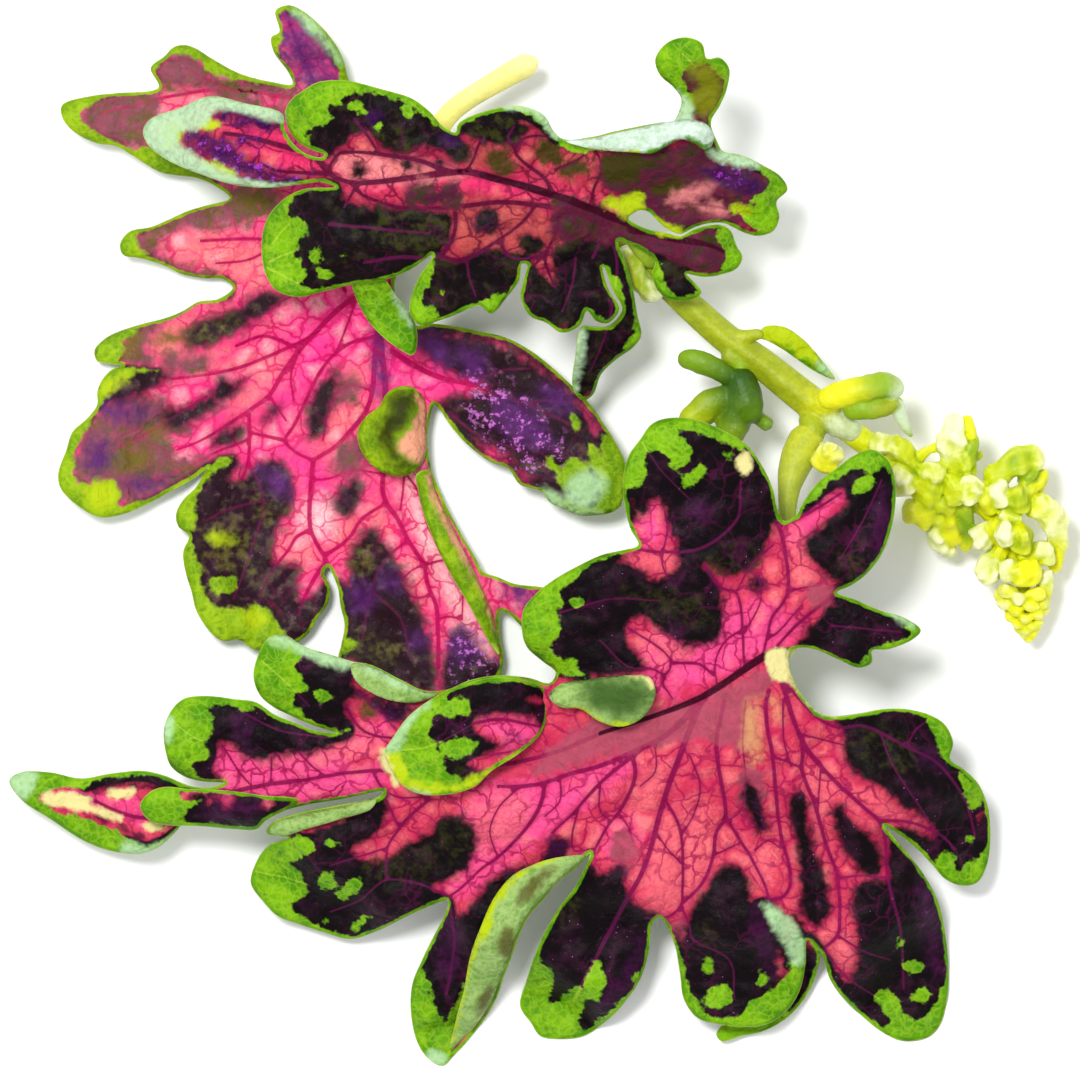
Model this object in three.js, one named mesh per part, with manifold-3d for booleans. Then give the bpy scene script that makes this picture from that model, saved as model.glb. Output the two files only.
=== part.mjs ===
// A flowering sprig of coleus (Plectranthus scutellarioides), picked and laid flat: a squarish stem,
// three deeply lobed leaves, the young growth in the joints of the stem, and a short raceme of buds.
//
// Everything is drawn on a square sheet, seen from above, in tenths of a millimetre: x runs to the
// right from the sheet's left edge and y runs down from its top edge. Heights are in millimetres above
// the surface that the sprig lies on. drawn() turns a place on the sheet into the part's own frame.

import * as THREE from 'three';
import { mergeVertices } from 'three/addons/utils/BufferGeometryUtils.js';
import Module from 'manifold-3d';

const wasm = await Module();
wasm.setup();

// ---------------------------------------------------------------------------------- dimensions

const TENTH = 0.1; // one drawing unit
const CENTRE = [536.2, 536.5]; // the drawing's point that lies over the part's origin

const BLADE = 0.9; // thickness of a leaf blade, measured upwards
const FLAP_BLADE = 0.8; // thickness of a turned-over edge
const EDGE_STEP = 2.7; // longest side along an outline
const GRID_STEP = 2.9; // spacing of the points inside an outline
const FLAP_STEP = 2.2; // the same, in the small turned-over edges
const HEIGHT_REACH = 7; // how far a given height is felt round its place
const DROOP_REACH = 2.4; // width of the band along the margin that bends down
const LIFT_POWER = 1.4; // a lobe lifts slowly at its root and faster towards its tip

const STEM_RADIUS = [1.6, 1.5, 1.35, 1.25, 1.4, 1.7]; // from the cut end to the last joint
const PETIOLE_SIDES = 8;
const STEM_SIDES = 12;
const SQUARENESS = 0.09; // how far the stem's four corners stand out, as a share of its radius
const ROD_STEP = 2.2; // length of a rod's steps, in radii
const BUD_SIDES = 7;
const BUD_RINGS = 5;
const BUD_TAPER = 0.22; // how far a bud narrows towards its point
const BUD_STALK = 0.6; // radius of a bud's stalk
const TABLE = { width: 200, depth: 20 }; // the ground that the raceme's lowest buds are pressed flat on
const MERGE = 1e-4;

// ---------------------------------------------------------------------------------- the drawing

// The stem's middle line, [x, y, height], from the cut end past four joints.
const STEM_LINE = [
  [374, 156, 9.6], [415, 166, 9.6], [480, 184, 9.4], [540, 203, 9.2], [600, 233, 9],
  [650, 269, 9], [692, 308, 9], [726, 338, 9], [760, 362, 9], [790, 386, 9], [822, 411, 9],
];

// Each leaf's outline runs round it lobe by lobe, each lobe from one notch to the next.
const LEAF_TOP = {
  lobes: {
    hanging: [
      [618, 241], [625, 262], [632, 287], [637, 315], [641, 335], [634, 346], [615, 360], [601, 374],
      [593, 394], [583, 400], [573, 388], [575, 358], [582, 327], [596, 330], [610, 330], [625, 314],
      [617, 292], [608, 268],
    ],
    lowerRight: [
      [602, 267], [609, 290], [620, 308], [608, 323], [596, 321], [587, 311], [579, 326], [562, 333],
      [546, 323], [530, 316], [521, 298], [524, 281], [527, 265],
    ],
    lowerMiddle: [
      [522, 264], [519, 281], [507, 297], [491, 314], [480, 306], [458, 314], [438, 321], [421, 326],
      [410, 313], [412, 296], [420, 276], [430, 262],
    ],
    lowerLeft: [
      [433, 255], [410, 270], [385, 280], [350, 285], [325, 291], [298, 297], [276, 290], [265, 272],
      [262, 242], [268, 218], [284, 200], [305, 190], [336, 188],
    ],
    tip: [
      [337, 182], [300, 185], [268, 188], [235, 185], [205, 176], [166, 159], [147, 143], [143, 130],
      [150, 119], [180, 108], [210, 97], [245, 104], [283, 115], [285, 130], [297, 148], [316, 159],
      [337, 157],
    ],
    upperLeft: [
      [340, 151], [318, 153], [301, 144], [290, 131], [286, 112], [293, 100], [304, 92], [318, 84],
      [345, 82], [380, 90], [412, 100], [430, 113], [442, 127],
    ],
    upperMiddle: [[456, 134], [459, 125], [482, 114], [520, 108], [544, 117], [554, 133]],
    upperRight: [[564, 141], [590, 139], [612, 134], [640, 128], [664, 124]],
    twisted: [
      [672, 124], [681, 102], [674, 90], [659, 76], [655, 61], [667, 45], [685, 40], [701, 46],
      [706, 61], [719, 60], [728, 70], [726, 90], [719, 107], [710, 124],
    ],
    rightUpper: [
      [716, 142], [722, 152], [740, 156], [762, 166], [780, 177], [787, 190], [776, 202], [779, 217],
      [773, 231], [758, 236], [740, 230], [722, 220], [700, 219], [680, 227], [664, 223], [648, 212],
      [635, 210],
    ],
    rightLower: [
      [628, 219], [642, 231], [658, 234], [673, 239], [687, 232], [704, 227], [722, 226], [732, 234],
      [736, 246], [742, 257], [737, 268], [720, 275], [702, 277],
    ],
    heel: [
      [686, 274], [695, 284], [701, 293], [689, 300], [668, 299], [656, 288], [652, 274], [655, 262],
      [646, 253], [632, 246],
    ],
  },
  heights: [
    [338, 178, 17], [450, 176, 18.5], [560, 195, 18.5], [628, 226, 16], [143, 131, 10], [240, 145, 14.5],
    [360, 100, 17], [430, 122, 18.5], [520, 112, 20.5], [640, 138, 20], [690, 50, 22], [700, 115, 20],
    [785, 190, 14], [745, 170, 16.5], [765, 232, 13], [740, 256, 13], [690, 240, 15], [690, 294, 14],
    [584, 400, 8.5], [610, 340, 12], [625, 270, 15], [560, 325, 15.5], [600, 300, 16], [440, 318, 13],
    [480, 300, 15], [330, 285, 12.5], [267, 250, 12], [350, 235, 16.5], [440, 225, 17.5], [520, 240, 17.5],
  ],
  lifts: { hanging: -2.2, lowerRight: 1.2, tip: -1, upperLeft: 2.2, upperMiddle: 1.5, twisted: 2 },
  droop: 0.7,
  petiole: { path: [[656, 266, 11.3], [646, 253, 13], [634, 239, 14.6]], radius: [1.15, 1.1, 1] },
  midrib: { path: [[622, 229], [574, 204], [520, 186], [448, 174], [396, 178]], radius: [0.9, 0.55] },
  flaps: [
    {
      // The upper right margin, rolled over towards the middle of the leaf.
      outline: [
        [566, 143], [590, 141], [612, 136], [640, 130], [668, 124], [690, 122], [705, 126], [713, 139],
        [706, 152], [694, 145], [680, 141], [667, 147], [651, 155], [632, 154], [604, 152], [584, 149],
      ],
      root: [[566, 141], [612, 134], [672, 122], [708, 124]],
      rise: 2.2,
    },
    {
      // A narrow tooth that hangs from the lower left lobe, green side up.
      outline: [
        [353, 279], [380, 276], [396, 295], [408, 310], [416, 328], [417, 343], [413, 355], [396, 347],
        [378, 332], [363, 312],
      ],
      root: [[340, 274], [392, 268]],
      rise: -3.4,
    },
  ],
};

const LEAF_LEFT = {
  lobes: {
    throat: [
      [404, 236], [400, 258], [394, 286], [402, 312], [416, 325],
    ],
    right: [
      [430, 323], [455, 326], [480, 331], [505, 337], [525, 347], [545, 361], [563, 377], [590, 404],
      [604, 424], [616, 443], [624, 460], [625, 478], [621, 505], [612, 512], [597, 515], [580, 515],
      [564, 509], [550, 502], [541, 491], [520, 484], [508, 468], [490, 461], [465, 442], [450, 425],
      [441, 411],
    ],
    rightEdge: [
      [434, 404], [429, 420], [427, 440], [431, 470], [440, 492], [448, 510], [463, 538], [474, 556],
    ],
    finger: [
      [482, 571], [497, 577], [515, 584], [545, 588], [572, 597], [578, 612], [566, 628], [545, 637],
      [524, 628], [510, 615],
    ],
    bottom: [
      [500, 611], [499, 632], [503, 662], [494, 684], [470, 700], [432, 708], [392, 700], [352, 682],
      [338, 660], [341, 645], [344, 625], [340, 606], [337, 587],
    ],
    lowerLeft: [
      [327, 567], [323, 573], [329, 587], [327, 604], [317, 618], [308, 633], [296, 643], [272, 652],
      [252, 649], [238, 640], [222, 641], [211, 634], [196, 612], [191, 594], [184, 570], [182, 552],
      [188, 536], [177, 526], [175, 514], [182, 500], [195, 487], [203, 473],
    ],
    left: [
      [207, 468], [190, 480], [170, 491], [140, 507], [118, 515], [98, 517], [80, 508], [60, 489],
      [57, 474], [65, 450], [71, 432], [87, 417], [96, 404], [96, 391], [106, 376], [122, 371],
      [160, 369], [204, 367],
    ],
    leftMiddle: [
      [206, 361], [160, 364], [122, 365], [108, 362], [96, 361], [93, 350], [105, 337], [135, 325],
      [165, 317], [182, 310], [197, 301], [217, 298],
    ],
    leftUpper: [
      [232, 287], [222, 278], [202, 277], [178, 272], [164, 265], [138, 257], [122, 254], [119, 243],
      [128, 231], [150, 226], [187, 210], [207, 204],
    ],
    upperLeft: [
      [229, 197], [213, 184], [197, 177], [160, 171], [134, 156], [115, 145], [96, 142], [72, 130],
      [61, 116], [61, 104], [90, 95], [115, 92], [158, 86], [150, 67], [164, 55], [173, 46],
      [184, 44], [194, 47], [210, 57], [238, 72], [272, 81],
    ],
    top: [
      [292, 83], [288, 71], [273, 50], [271, 36], [279, 31], [275, 10], [283, 5], [293, 5], [317, 22],
      [340, 52], [349, 82],
    ],
    neck: [[362, 112], [374, 150], [384, 190], [394, 220]],
  },
  heights: [
    [400, 236, 4.6], [372, 150, 3.8], [345, 100, 4.4], [290, 12, 5.8], [265, 95, 4.4], [182, 52, 5.2],
    [65, 110, 4.4], [150, 120, 4], [122, 246, 3.2], [200, 235, 2.4], [95, 350, 2.4], [190, 330, 0.9],
    [64, 482, 3.4], [100, 420, 2.6], [170, 430, 0.8], [184, 520, 2.8], [215, 625, 3.2], [255, 560, 0.8],
    [322, 600, 2.6], [345, 640, 2.8], [430, 700, 3.4], [395, 590, 0.8], [570, 615, 3.6], [490, 640, 3],
    [432, 440, 3.2], [470, 540, 3.4], [330, 440, -0.9], [290, 400, -0.7], [370, 500, -0.6], [300, 480, -0.7],
    [370, 360, 0.6], [470, 380, 3.4], [560, 430, 4.6], [620, 490, 5], [500, 340, 4.6], [320, 250, 2.6],
    [400, 300, 3.6],
  ],
  lifts: { leftMiddle: -0.8, left: 0.9, leftUpper: 0.5 },
  droop: 0.3,
  petiole: { path: [[416, 183, 8.3], [413, 202, 6.6], [407, 224, 5.2]], radius: [1.2, 1.2, 1.15] },
  midrib: { path: [[398, 246], [388, 280], [386, 320]], radius: [1.05, 0.6] },
  flaps: [
    {
      // The ear: a rounded lobe that curls up off the right-hand edge, underside out.
      outline: [
        [424, 400], [412, 387], [396, 387], [386, 394], [379, 406], [366, 416], [358, 428], [358, 442],
        [364, 456], [378, 470], [400, 476], [414, 471], [424, 458], [426, 430],
      ],
      root: [[430, 396], [427, 430], [430, 466]],
      rise: 2.6,
    },
    {
      // The right-hand margin, rolled over in a long narrow strip.
      outline: [
        [429, 474], [439, 496], [450, 517], [463, 542], [476, 563], [487, 588], [493, 608], [498, 632],
        [499, 654], [490, 638], [479, 620], [468, 604], [456, 584], [446, 562], [436, 544], [426, 524],
        [420, 505], [420, 487],
      ],
      root: [[434, 472], [452, 512], [480, 565], [497, 606], [502, 640]],
      rise: 2,
    },
  ],
};

const LEAF_BOTTOM = {
  lobes: {
    lowerFirst: [
      [789, 652], [789, 668], [796, 686], [806, 701], [818, 712], [832, 716], [860, 713], [882, 709],
      [906, 709], [930, 715], [945, 725], [953, 743], [950, 759], [963, 769], [977, 782], [987, 802],
      [991, 828], [988, 864], [978, 883], [963, 886], [947, 880], [930, 862], [912, 844],
    ],
    lowerSecond: [
      [884, 825], [897, 841], [912, 859], [926, 878], [939, 903], [946, 932], [950, 968], [949, 998],
      [942, 1026], [930, 1039], [905, 1043], [885, 1035], [862, 1017], [843, 998], [831, 980],
    ],
    lowerThird: [
      [821, 952], [808, 940], [806, 965], [800, 992], [788, 1011], [768, 1025], [745, 1028], [718, 1025],
      [698, 1019], [685, 1002], [680, 972], [674, 942],
    ],
    lowerFourth: [
      [660, 917], [652, 924], [649, 950], [641, 978], [625, 1003], [606, 1023], [584, 1038], [560, 1041],
      [540, 1038], [531, 1025], [520, 1008], [527, 980], [535, 955], [546, 930], [560, 907], [577, 884],
    ],
    lowerFifth: [
      [590, 853], [578, 866], [559, 881], [543, 900], [529, 916], [519, 936], [513, 954], [504, 977],
      [496, 1000], [484, 1021], [468, 1042], [454, 1057], [442, 1068], [428, 1061], [417, 1045],
      [411, 1018], [412, 986], [421, 963], [436, 932], [445, 915],
    ],
    lowerSixth: [
      [448, 901], [425, 908], [400, 920], [376, 932], [350, 940], [322, 933], [298, 925], [277, 917],
      [262, 902], [250, 884], [256, 862], [268, 846], [288, 838], [266, 833], [272, 823], [300, 813],
      [340, 805], [378, 797],
    ],
    tip: [
      [384, 791], [340, 799], [300, 806], [266, 817], [258, 825], [230, 822], [185, 822], [175, 832],
      [160, 846], [140, 854], [112, 852], [84, 842], [50, 820], [20, 800], [8, 781], [20, 773],
      [48, 773], [80, 779], [110, 774], [142, 771], [165, 776], [186, 785], [205, 788],
    ],
    upperFirst: [
      [224, 783], [202, 781], [184, 776], [171, 766], [166, 752], [164, 730], [171, 711], [184, 699],
      [205, 696], [235, 699], [256, 702], [274, 714], [295, 723], [316, 731],
    ],
    upperSecond: [
      [337, 733], [314, 725], [293, 716], [273, 706], [260, 694], [254, 675], [260, 652], [270, 637],
      [285, 635], [304, 646], [332, 655], [352, 661], [372, 665], [400, 679], [424, 690],
    ],
    upperThird: [[446, 690], [470, 680], [500, 675], [530, 678]],
    upperFourth: [
      [550, 683], [556, 672], [542, 660], [527, 646], [522, 628], [524, 609], [536, 594], [552, 581],
      [576, 567], [602, 555], [624, 550],
    ],
    upperFifth: [
      [638, 545], [630, 528], [624, 503], [623, 478], [629, 455], [641, 438], [651, 425], [667, 419],
      [692, 420], [720, 430], [745, 445], [761, 466], [772, 490], [776, 508],
    ],
    upperSixth: [
      [783, 521], [794, 517], [802, 503], [816, 484], [835, 469], [855, 455], [871, 450], [886, 460],
      [893, 477], [894, 504], [889, 532], [880, 555], [864, 575], [850, 585],
    ],
    upperSeventh: [
      [836, 592], [855, 600], [878, 610], [902, 617], [920, 630], [912, 639], [887, 649], [871, 650],
      [871, 662], [858, 667], [838, 659], [818, 650], [802, 647],
    ],
  },
  heights: [
    [790, 655, 16], [700, 698, 16.5], [600, 735, 15.5], [500, 762, 14], [390, 772, 12.5], [260, 790, 10],
    [145, 815, 7.5], [12, 781, 4.5], [100, 845, 4], [172, 722, 11.5], [265, 650, 13.5], [350, 668, 14.5],
    [330, 740, 12.5], [430, 700, 15], [520, 680, 16.5], [528, 622, 19.5], [600, 562, 21.5],
    [640, 640, 18.5], [640, 440, 22], [700, 424, 22], [762, 472, 20.5], [700, 530, 20.5], [781, 530, 18.5],
    [784, 590, 18], [870, 455, 19.5], [892, 520, 18.5], [840, 540, 18.5], [916, 631, 15], [850, 622, 16.5],
    [950, 740, 10.5], [988, 850, 6], [880, 770, 12.5], [948, 985, 1.4], [915, 1040, -1.6], [860, 900, 8.5],
    [700, 1015, 3.6], [780, 1005, 4], [740, 900, 10], [548, 1036, -1.4], [600, 960, 7], [625, 860, 12],
    [444, 1062, -1.6], [424, 990, 3.6], [500, 905, 9.5], [252, 880, 2.6], [325, 935, 2.6], [400, 870, 8.5],
    [335, 830, 9.5],
  ],
  lifts: { upperFirst: -0.8, upperSecond: 1.6, lowerThird: 1, lowerSixth: 0.6, upperFifth: 1.2 },
  droop: 0.8,
  petiole: {
    path: [
      [813, 429, 9.4], [802, 450, 10.2], [790, 480, 11.4], [787, 515, 12.8], [788, 580, 13.6],
      [790, 630, 14],
    ],
    radius: [1.35, 1.4, 1.45, 1.4, 1.3, 1.2],
  },
  midrib: {
    path: [[788, 650], [760, 658], [720, 685], [670, 707], [600, 735], [520, 760], [430, 770], [350, 773]],
    radius: [1.1, 0.55],
  },
  flaps: [
    {
      // The lobe that lies over the tip's lower edge.
      outline: [
        [300, 800], [262, 795], [220, 790], [190, 789], [165, 787], [150, 792], [140, 806], [150, 821],
        [168, 825], [200, 826], [236, 829], [256, 829], [266, 820],
      ],
      root: [[310, 790], [290, 812]],
      rise: 2.2,
    },
    {
      // The curled strip on the upper left margin.
      outline: [
        [352, 664], [372, 667], [400, 681], [422, 691], [437, 694], [416, 702], [382, 697], [356, 680],
      ],
      root: [[350, 662], [374, 664], [402, 677], [430, 690]],
      rise: 1.6,
    },
    {
      // The broad lobe in front, whose tip points to the leaf's own tip.
      outline: [
        [545, 690], [520, 679], [496, 677], [470, 682], [448, 690], [428, 701], [409, 716], [394, 736],
        [385, 752], [391, 768], [402, 784], [420, 793], [445, 794], [474, 786], [492, 770], [520, 752],
        [543, 728],
      ],
      root: [[560, 668], [545, 700], [556, 760]],
      rise: 3,
    },
    {
      // The lobe tip that has rolled right over and lies on the midrib, underside up.
      outline: [
        [549, 696], [560, 684], [582, 680], [604, 677], [628, 675], [648, 676], [655, 692], [643, 716],
        [621, 726], [600, 721], [580, 708], [560, 706],
      ],
      root: [[549, 694], [566, 682], [604, 676], [650, 675]],
      rise: 2.4,
    },
    {
      // The right-hand margin of the fifth lower lobe, rolled over.
      outline: [
        [586, 856], [562, 876], [541, 898], [526, 916], [515, 938], [510, 956], [500, 978], [492, 1000],
        [480, 1020], [464, 1040], [450, 1052], [456, 1020], [464, 990], [470, 958], [478, 934],
        [494, 898], [512, 876], [534, 864], [558, 857],
      ],
      root: [[590, 856], [562, 880], [530, 916], [514, 954], [496, 1000], [454, 1056]],
      rise: 2.2,
    },
    {
      // The rolled upper edge of the sixth lower lobe.
      outline: [
        [376, 799], [340, 807], [300, 815], [276, 823], [269, 831], [280, 836], [306, 829], [340, 819],
        [372, 808],
      ],
      root: [[380, 797], [340, 804], [300, 812], [268, 824]],
      rise: 1.5,
    },
    {
      // The small lobe that shows from under the third lower lobe.
      outline: [
        [820, 950], [817, 976], [805, 1001], [786, 1021], [764, 1033], [742, 1038], [722, 1043],
        [717, 1036], [738, 1012], [762, 984], [782, 956], [798, 930],
      ],
      root: [[822, 948], [798, 928]],
      rise: -2.3,
    },
  ],
};

// The narrow young leaf beside the third joint.
const YOUNG_LEAF = {
  lobes: {
    whole: [
      [758, 337], [764, 327], [784, 327], [804, 340], [821, 359], [835, 379], [815, 371], [797, 359],
      [781, 348], [768, 341],
    ],
  },
  heights: [[757, 340, 10.4], [790, 336, 10.8], [815, 360, 9.4], [835, 379, 8.2]],
  lifts: {},
  droop: 0.3,
};

const TOP_COLOURS = { stem: 0xaebf18, pale: 0xdbe265, shoot: 0x4f7d12, raceme: 0xdde32a };
const LEAF_COLOURS = { top: 0x5a1a2a, left: 0xe0607a, bottom: 0x7a1c34 };

// ---------------------------------------------------------------------------------- small helpers

const drawn = (x, y, z = 0) =>
  new THREE.Vector3((x - CENTRE[0]) * TENTH, (CENTRE[1] - y) * TENTH, z);

const flat = ([x, y]) => {
  const place = drawn(x, y);
  return new THREE.Vector2(place.x, place.y);
};

const clamp01 = (value) => Math.min(1, Math.max(0, value));

function distanceToSegment(p, a, b) {
  const along = b.clone().sub(a);
  const share = clamp01(p.clone().sub(a).dot(along) / along.lengthSq());
  return p.distanceTo(along.multiplyScalar(share).add(a));
}

function distanceToLine(p, line, closed) {
  const last = closed ? line.length : line.length - 1;
  let nearest = Infinity;
  for (let i = 0; i < last; i += 1) {
    nearest = Math.min(nearest, distanceToSegment(p, line[i], line[(i + 1) % line.length]));
  }
  return nearest;
}

function isInside(p, polygon) {
  let inside = false;
  for (let i = 0, j = polygon.length - 1; i < polygon.length; j = i, i += 1) {
    const [a, b] = [polygon[i], polygon[j]];
    const crosses = a.y > p.y !== b.y > p.y && p.x < ((b.x - a.x) * (p.y - a.y)) / (b.y - a.y) + a.x;
    if (crosses) inside = !inside;
  }
  return inside;
}

// ---------------------------------------------------------------------------------- triangulation

const FLAT = 1e-9; // three points that turn less than this are in line

const turn = (a, b, c) => (b.x - a.x) * (c.y - a.y) - (b.y - a.y) * (c.x - a.x);

// True where d lies inside the circle through the anticlockwise triangle a, b, c.
function isInCircle(a, b, c, d) {
  const [ax, ay, bx, by, cx, cy] = [a.x - d.x, a.y - d.y, b.x - d.x, b.y - d.y, c.x - d.x, c.y - d.y];
  const determinant =
    (ax * ax + ay * ay) * (bx * cy - cx * by) -
    (bx * bx + by * by) * (ax * cy - cx * ay) +
    (cx * cx + cy * cy) * (ax * by - bx * ay);
  return determinant > FLAT;
}

// True where the triangles a, b, c and b, a, d make a quadrilateral that its other diagonal can cut.
const isConvex = (a, b, c, d) => turn(c, a, d) > FLAT && turn(d, b, c) > FLAT;

// Each directed side's triangle, with the corner that faces the side.
function sidesOf(triangles) {
  const owner = new Map();
  triangles.forEach((triangle, index) => {
    triangle.forEach((a, k) => {
      owner.set(`${a},${triangle[(k + 1) % 3]}`, [index, triangle[(k + 2) % 3]]);
    });
  });
  return owner;
}

// Swaps the shared side of neighbouring triangles until each pair is as round as it can be.
function roundOff(points, triangles) {
  let swapped = true;
  while (swapped) {
    swapped = false;
    const owner = sidesOf(triangles);
    const touched = new Set();
    for (const [side, [first, c]] of owner) {
      const [a, b] = side.split(',').map(Number);
      const other = owner.get(`${b},${a}`);
      if (!other || touched.has(first) || touched.has(other[0])) continue;
      const [second, d] = other;
      const corners = [a, b, c, d].map((index) => points[index]);
      if (!isConvex(...corners) || !isInCircle(...corners)) continue;
      triangles[first] = [c, a, d];
      triangles[second] = [d, b, c];
      touched.add(first).add(second);
      swapped = true;
    }
  }
}

// Fills an anticlockwise outline with triangles whose sides are about as long as step.
function fillOutline(outline, step) {
  const points = outline.map((p) => p.clone());
  const triangles = THREE.ShapeUtils.triangulateShape(points.slice(), []).map(([a, b, c]) =>
    turn(points[a], points[b], points[c]) > 0 ? [a, b, c] : [a, c, b]);
  const box = new THREE.Box2().setFromPoints(outline);
  const rowHeight = step * Math.sqrt(0.75);
  const rows = Math.ceil((box.max.y - box.min.y) / rowHeight);
  const columns = Math.ceil((box.max.x - box.min.x) / step) + 1;
  for (let row = 1; row < rows; row += 1) {
    for (let column = 0; column < columns; column += 1) {
      const x = box.min.x + (column + (row % 2) / 2) * step;
      const p = new THREE.Vector2(x, box.min.y + row * rowHeight);
      if (!isInside(p, outline) || distanceToLine(p, outline, true) < step * 0.5) continue;
      const isLeftOf = (a, b) => turn(points[a], points[b], p) > 0;
      const host = triangles.findIndex(([a, b, c]) => isLeftOf(a, b) && isLeftOf(b, c) && isLeftOf(c, a));
      if (host < 0) continue;
      const [a, b, c] = triangles[host];
      const added = points.push(p) - 1;
      triangles.splice(host, 1, [a, b, added], [b, c, added], [c, a, added]);
    }
  }
  roundOff(points, triangles);
  return { points, triangles };
}

// ---------------------------------------------------------------------------------- solids

function solidFrom(positions, indices) {
  const geometry = new THREE.BufferGeometry();
  geometry.setAttribute('position', new THREE.Float32BufferAttribute(positions, 3));
  geometry.setIndex(indices);
  return geometry;
}

// A sheet of even upright thickness over a filled outline, at the heights that heightAt gives.
function sheet(outline, step, thickness, heightAt) {
  const { points, triangles } = fillOutline(outline, step);
  const heights = points.map((p, index) => heightAt(p, index));
  const count = points.length;
  const positions = [];
  for (const side of [1, -1]) {
    points.forEach((p, index) => positions.push(p.x, p.y, heights[index] + (side * thickness) / 2));
  }
  const indices = triangles.flat();
  triangles.forEach(([a, b, c]) => indices.push(count + a, count + c, count + b));
  outline.forEach((_, a) => {
    const b = (a + 1) % outline.length;
    indices.push(count + a, count + b, b, count + a, b, a);
  });
  return solidFrom(positions, indices);
}

// A round or squarish rod along a smooth line through the given points.
function rod(line, radii, sides, squareness = 0) {
  const curve = new THREE.CatmullRomCurve3(line, false, 'centripetal');
  const steps = Math.max(line.length - 1, Math.round(curve.getLength() / (ROD_STEP * Math.max(...radii))));
  const frames = curve.computeFrenetFrames(steps);
  const positions = [];
  for (let i = 0; i <= steps; i += 1) {
    const place = curve.getPointAt(i / steps);
    const position = (i / steps) * (radii.length - 1);
    const before = Math.min(Math.floor(position), radii.length - 2);
    const radius = THREE.MathUtils.lerp(radii[before], radii[before + 1], position - before);
    for (let k = 0; k < sides; k += 1) {
      const angle = ((k + 0.5) / sides) * Math.PI * 2;
      const reach = radius * (1 - squareness * Math.cos(4 * angle));
      const offset = frames.normals[i].clone().multiplyScalar(Math.cos(angle) * reach);
      offset.add(frames.binormals[i].clone().multiplyScalar(Math.sin(angle) * reach));
      positions.push(...place.clone().add(offset));
    }
  }
  positions.push(...curve.getPointAt(0), ...curve.getPointAt(1));
  const [start, end] = [(steps + 1) * sides, (steps + 1) * sides + 1];
  const indices = [];
  for (let k = 0; k < sides; k += 1) {
    const next = (k + 1) % sides;
    indices.push(start, next, k, end, steps * sides + k, steps * sides + next);
    for (let i = 0; i < steps; i += 1) {
      const [a, b] = [i * sides + k, i * sides + next];
      indices.push(a, b, b + sides, a, b + sides, a + sides);
    }
  }
  return solidFrom(positions, indices);
}

// A geometry with nothing but its places, so that its shared vertices can be merged.
function bare(geometry) {
  ['normal', 'uv'].forEach((name) => geometry.deleteAttribute(name));
  return geometry;
}

// A bud's body: round at its base and drawn out to a blunt point, from base to point.
function budBody(base, point, radius) {
  const axis = point.clone().sub(base);
  const geometry = bare(new THREE.SphereGeometry(1, BUD_SIDES, BUD_RINGS));
  const positions = geometry.attributes.position;
  for (let i = 0; i < positions.count; i += 1) {
    const taper = 1 - BUD_TAPER * positions.getY(i);
    positions.setX(i, positions.getX(i) * taper);
    positions.setZ(i, positions.getZ(i) * taper);
  }
  geometry.scale(radius, axis.length() / 2, radius);
  const turned = new THREE.Quaternion().setFromUnitVectors(new THREE.Vector3(0, 1, 0), axis.normalize());
  const middle = base.clone().lerp(point, 0.5);
  geometry.applyQuaternion(turned).translate(...middle);
  return mergeVertices(geometry, MERGE);
}

const toManifold = (geometry) =>
  new wasm.Manifold(new wasm.Mesh({
    numProp: 3,
    vertProperties: new Float32Array(geometry.attributes.position.array),
    triVerts: new Uint32Array(geometry.index.array),
  }));

// Joins closed solids that reach into each other into one.
function fuse(geometries, below) {
  let whole = toManifold(geometries[0]);
  geometries.slice(1).forEach((geometry) => { whole = whole.add(toManifold(geometry)); });
  if (below) whole = whole.subtract(toManifold(below));
  const mesh = whole.getMesh();
  return solidFrom(Array.from(mesh.vertProperties), Array.from(mesh.triVerts));
}

// ---------------------------------------------------------------------------------- leaves

function outlineOf(lobes) {
  const control = Object.entries(lobes).flatMap(([lobe, places]) =>
    places.map(([x, y]) => ({ lobe, place: drawn(x, y) })));
  const curve = new THREE.CatmullRomCurve3(control.map(({ place }) => place), true, 'centripetal');
  const points = [];
  const lobeOf = [];
  control.forEach(({ lobe, place }, i) => {
    const next = control[(i + 1) % control.length].place;
    const pieces = Math.max(1, Math.round(place.distanceTo(next) / EDGE_STEP));
    for (let k = 0; k < pieces; k += 1) {
      const p = curve.getPoint((i + k / pieces) / control.length);
      points.push(new THREE.Vector2(p.x, p.y));
      lobeOf.push(lobe);
    }
  });
  if (THREE.ShapeUtils.area(points) < 0) {
    points.reverse();
    lobeOf.reverse();
  }
  return { points, lobeOf };
}

// The height of a leaf's middle surface at a point, from the heights given round it.
function heightField(heights) {
  const marks = heights.map(([x, y, z]) => ({ at: flat([x, y]), z }));
  return (p) => {
    let [sum, weights] = [0, 0];
    for (const { at, z } of marks) {
      const weight = 1 / (p.distanceToSquared(at) + HEIGHT_REACH) ** 2;
      sum += weight * z;
      weights += weight;
    }
    return sum / weights;
  };
}

function liftOf(polygon, amount) {
  const [a, b] = [polygon[0], polygon[polygon.length - 1]];
  const away = (p) => Math.abs(turn(a, b, p)) / a.distanceTo(b);
  const reach = Math.max(...polygon.map(away));
  return (p) => amount * clamp01(away(p) / reach) ** LIFT_POWER;
}

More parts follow.
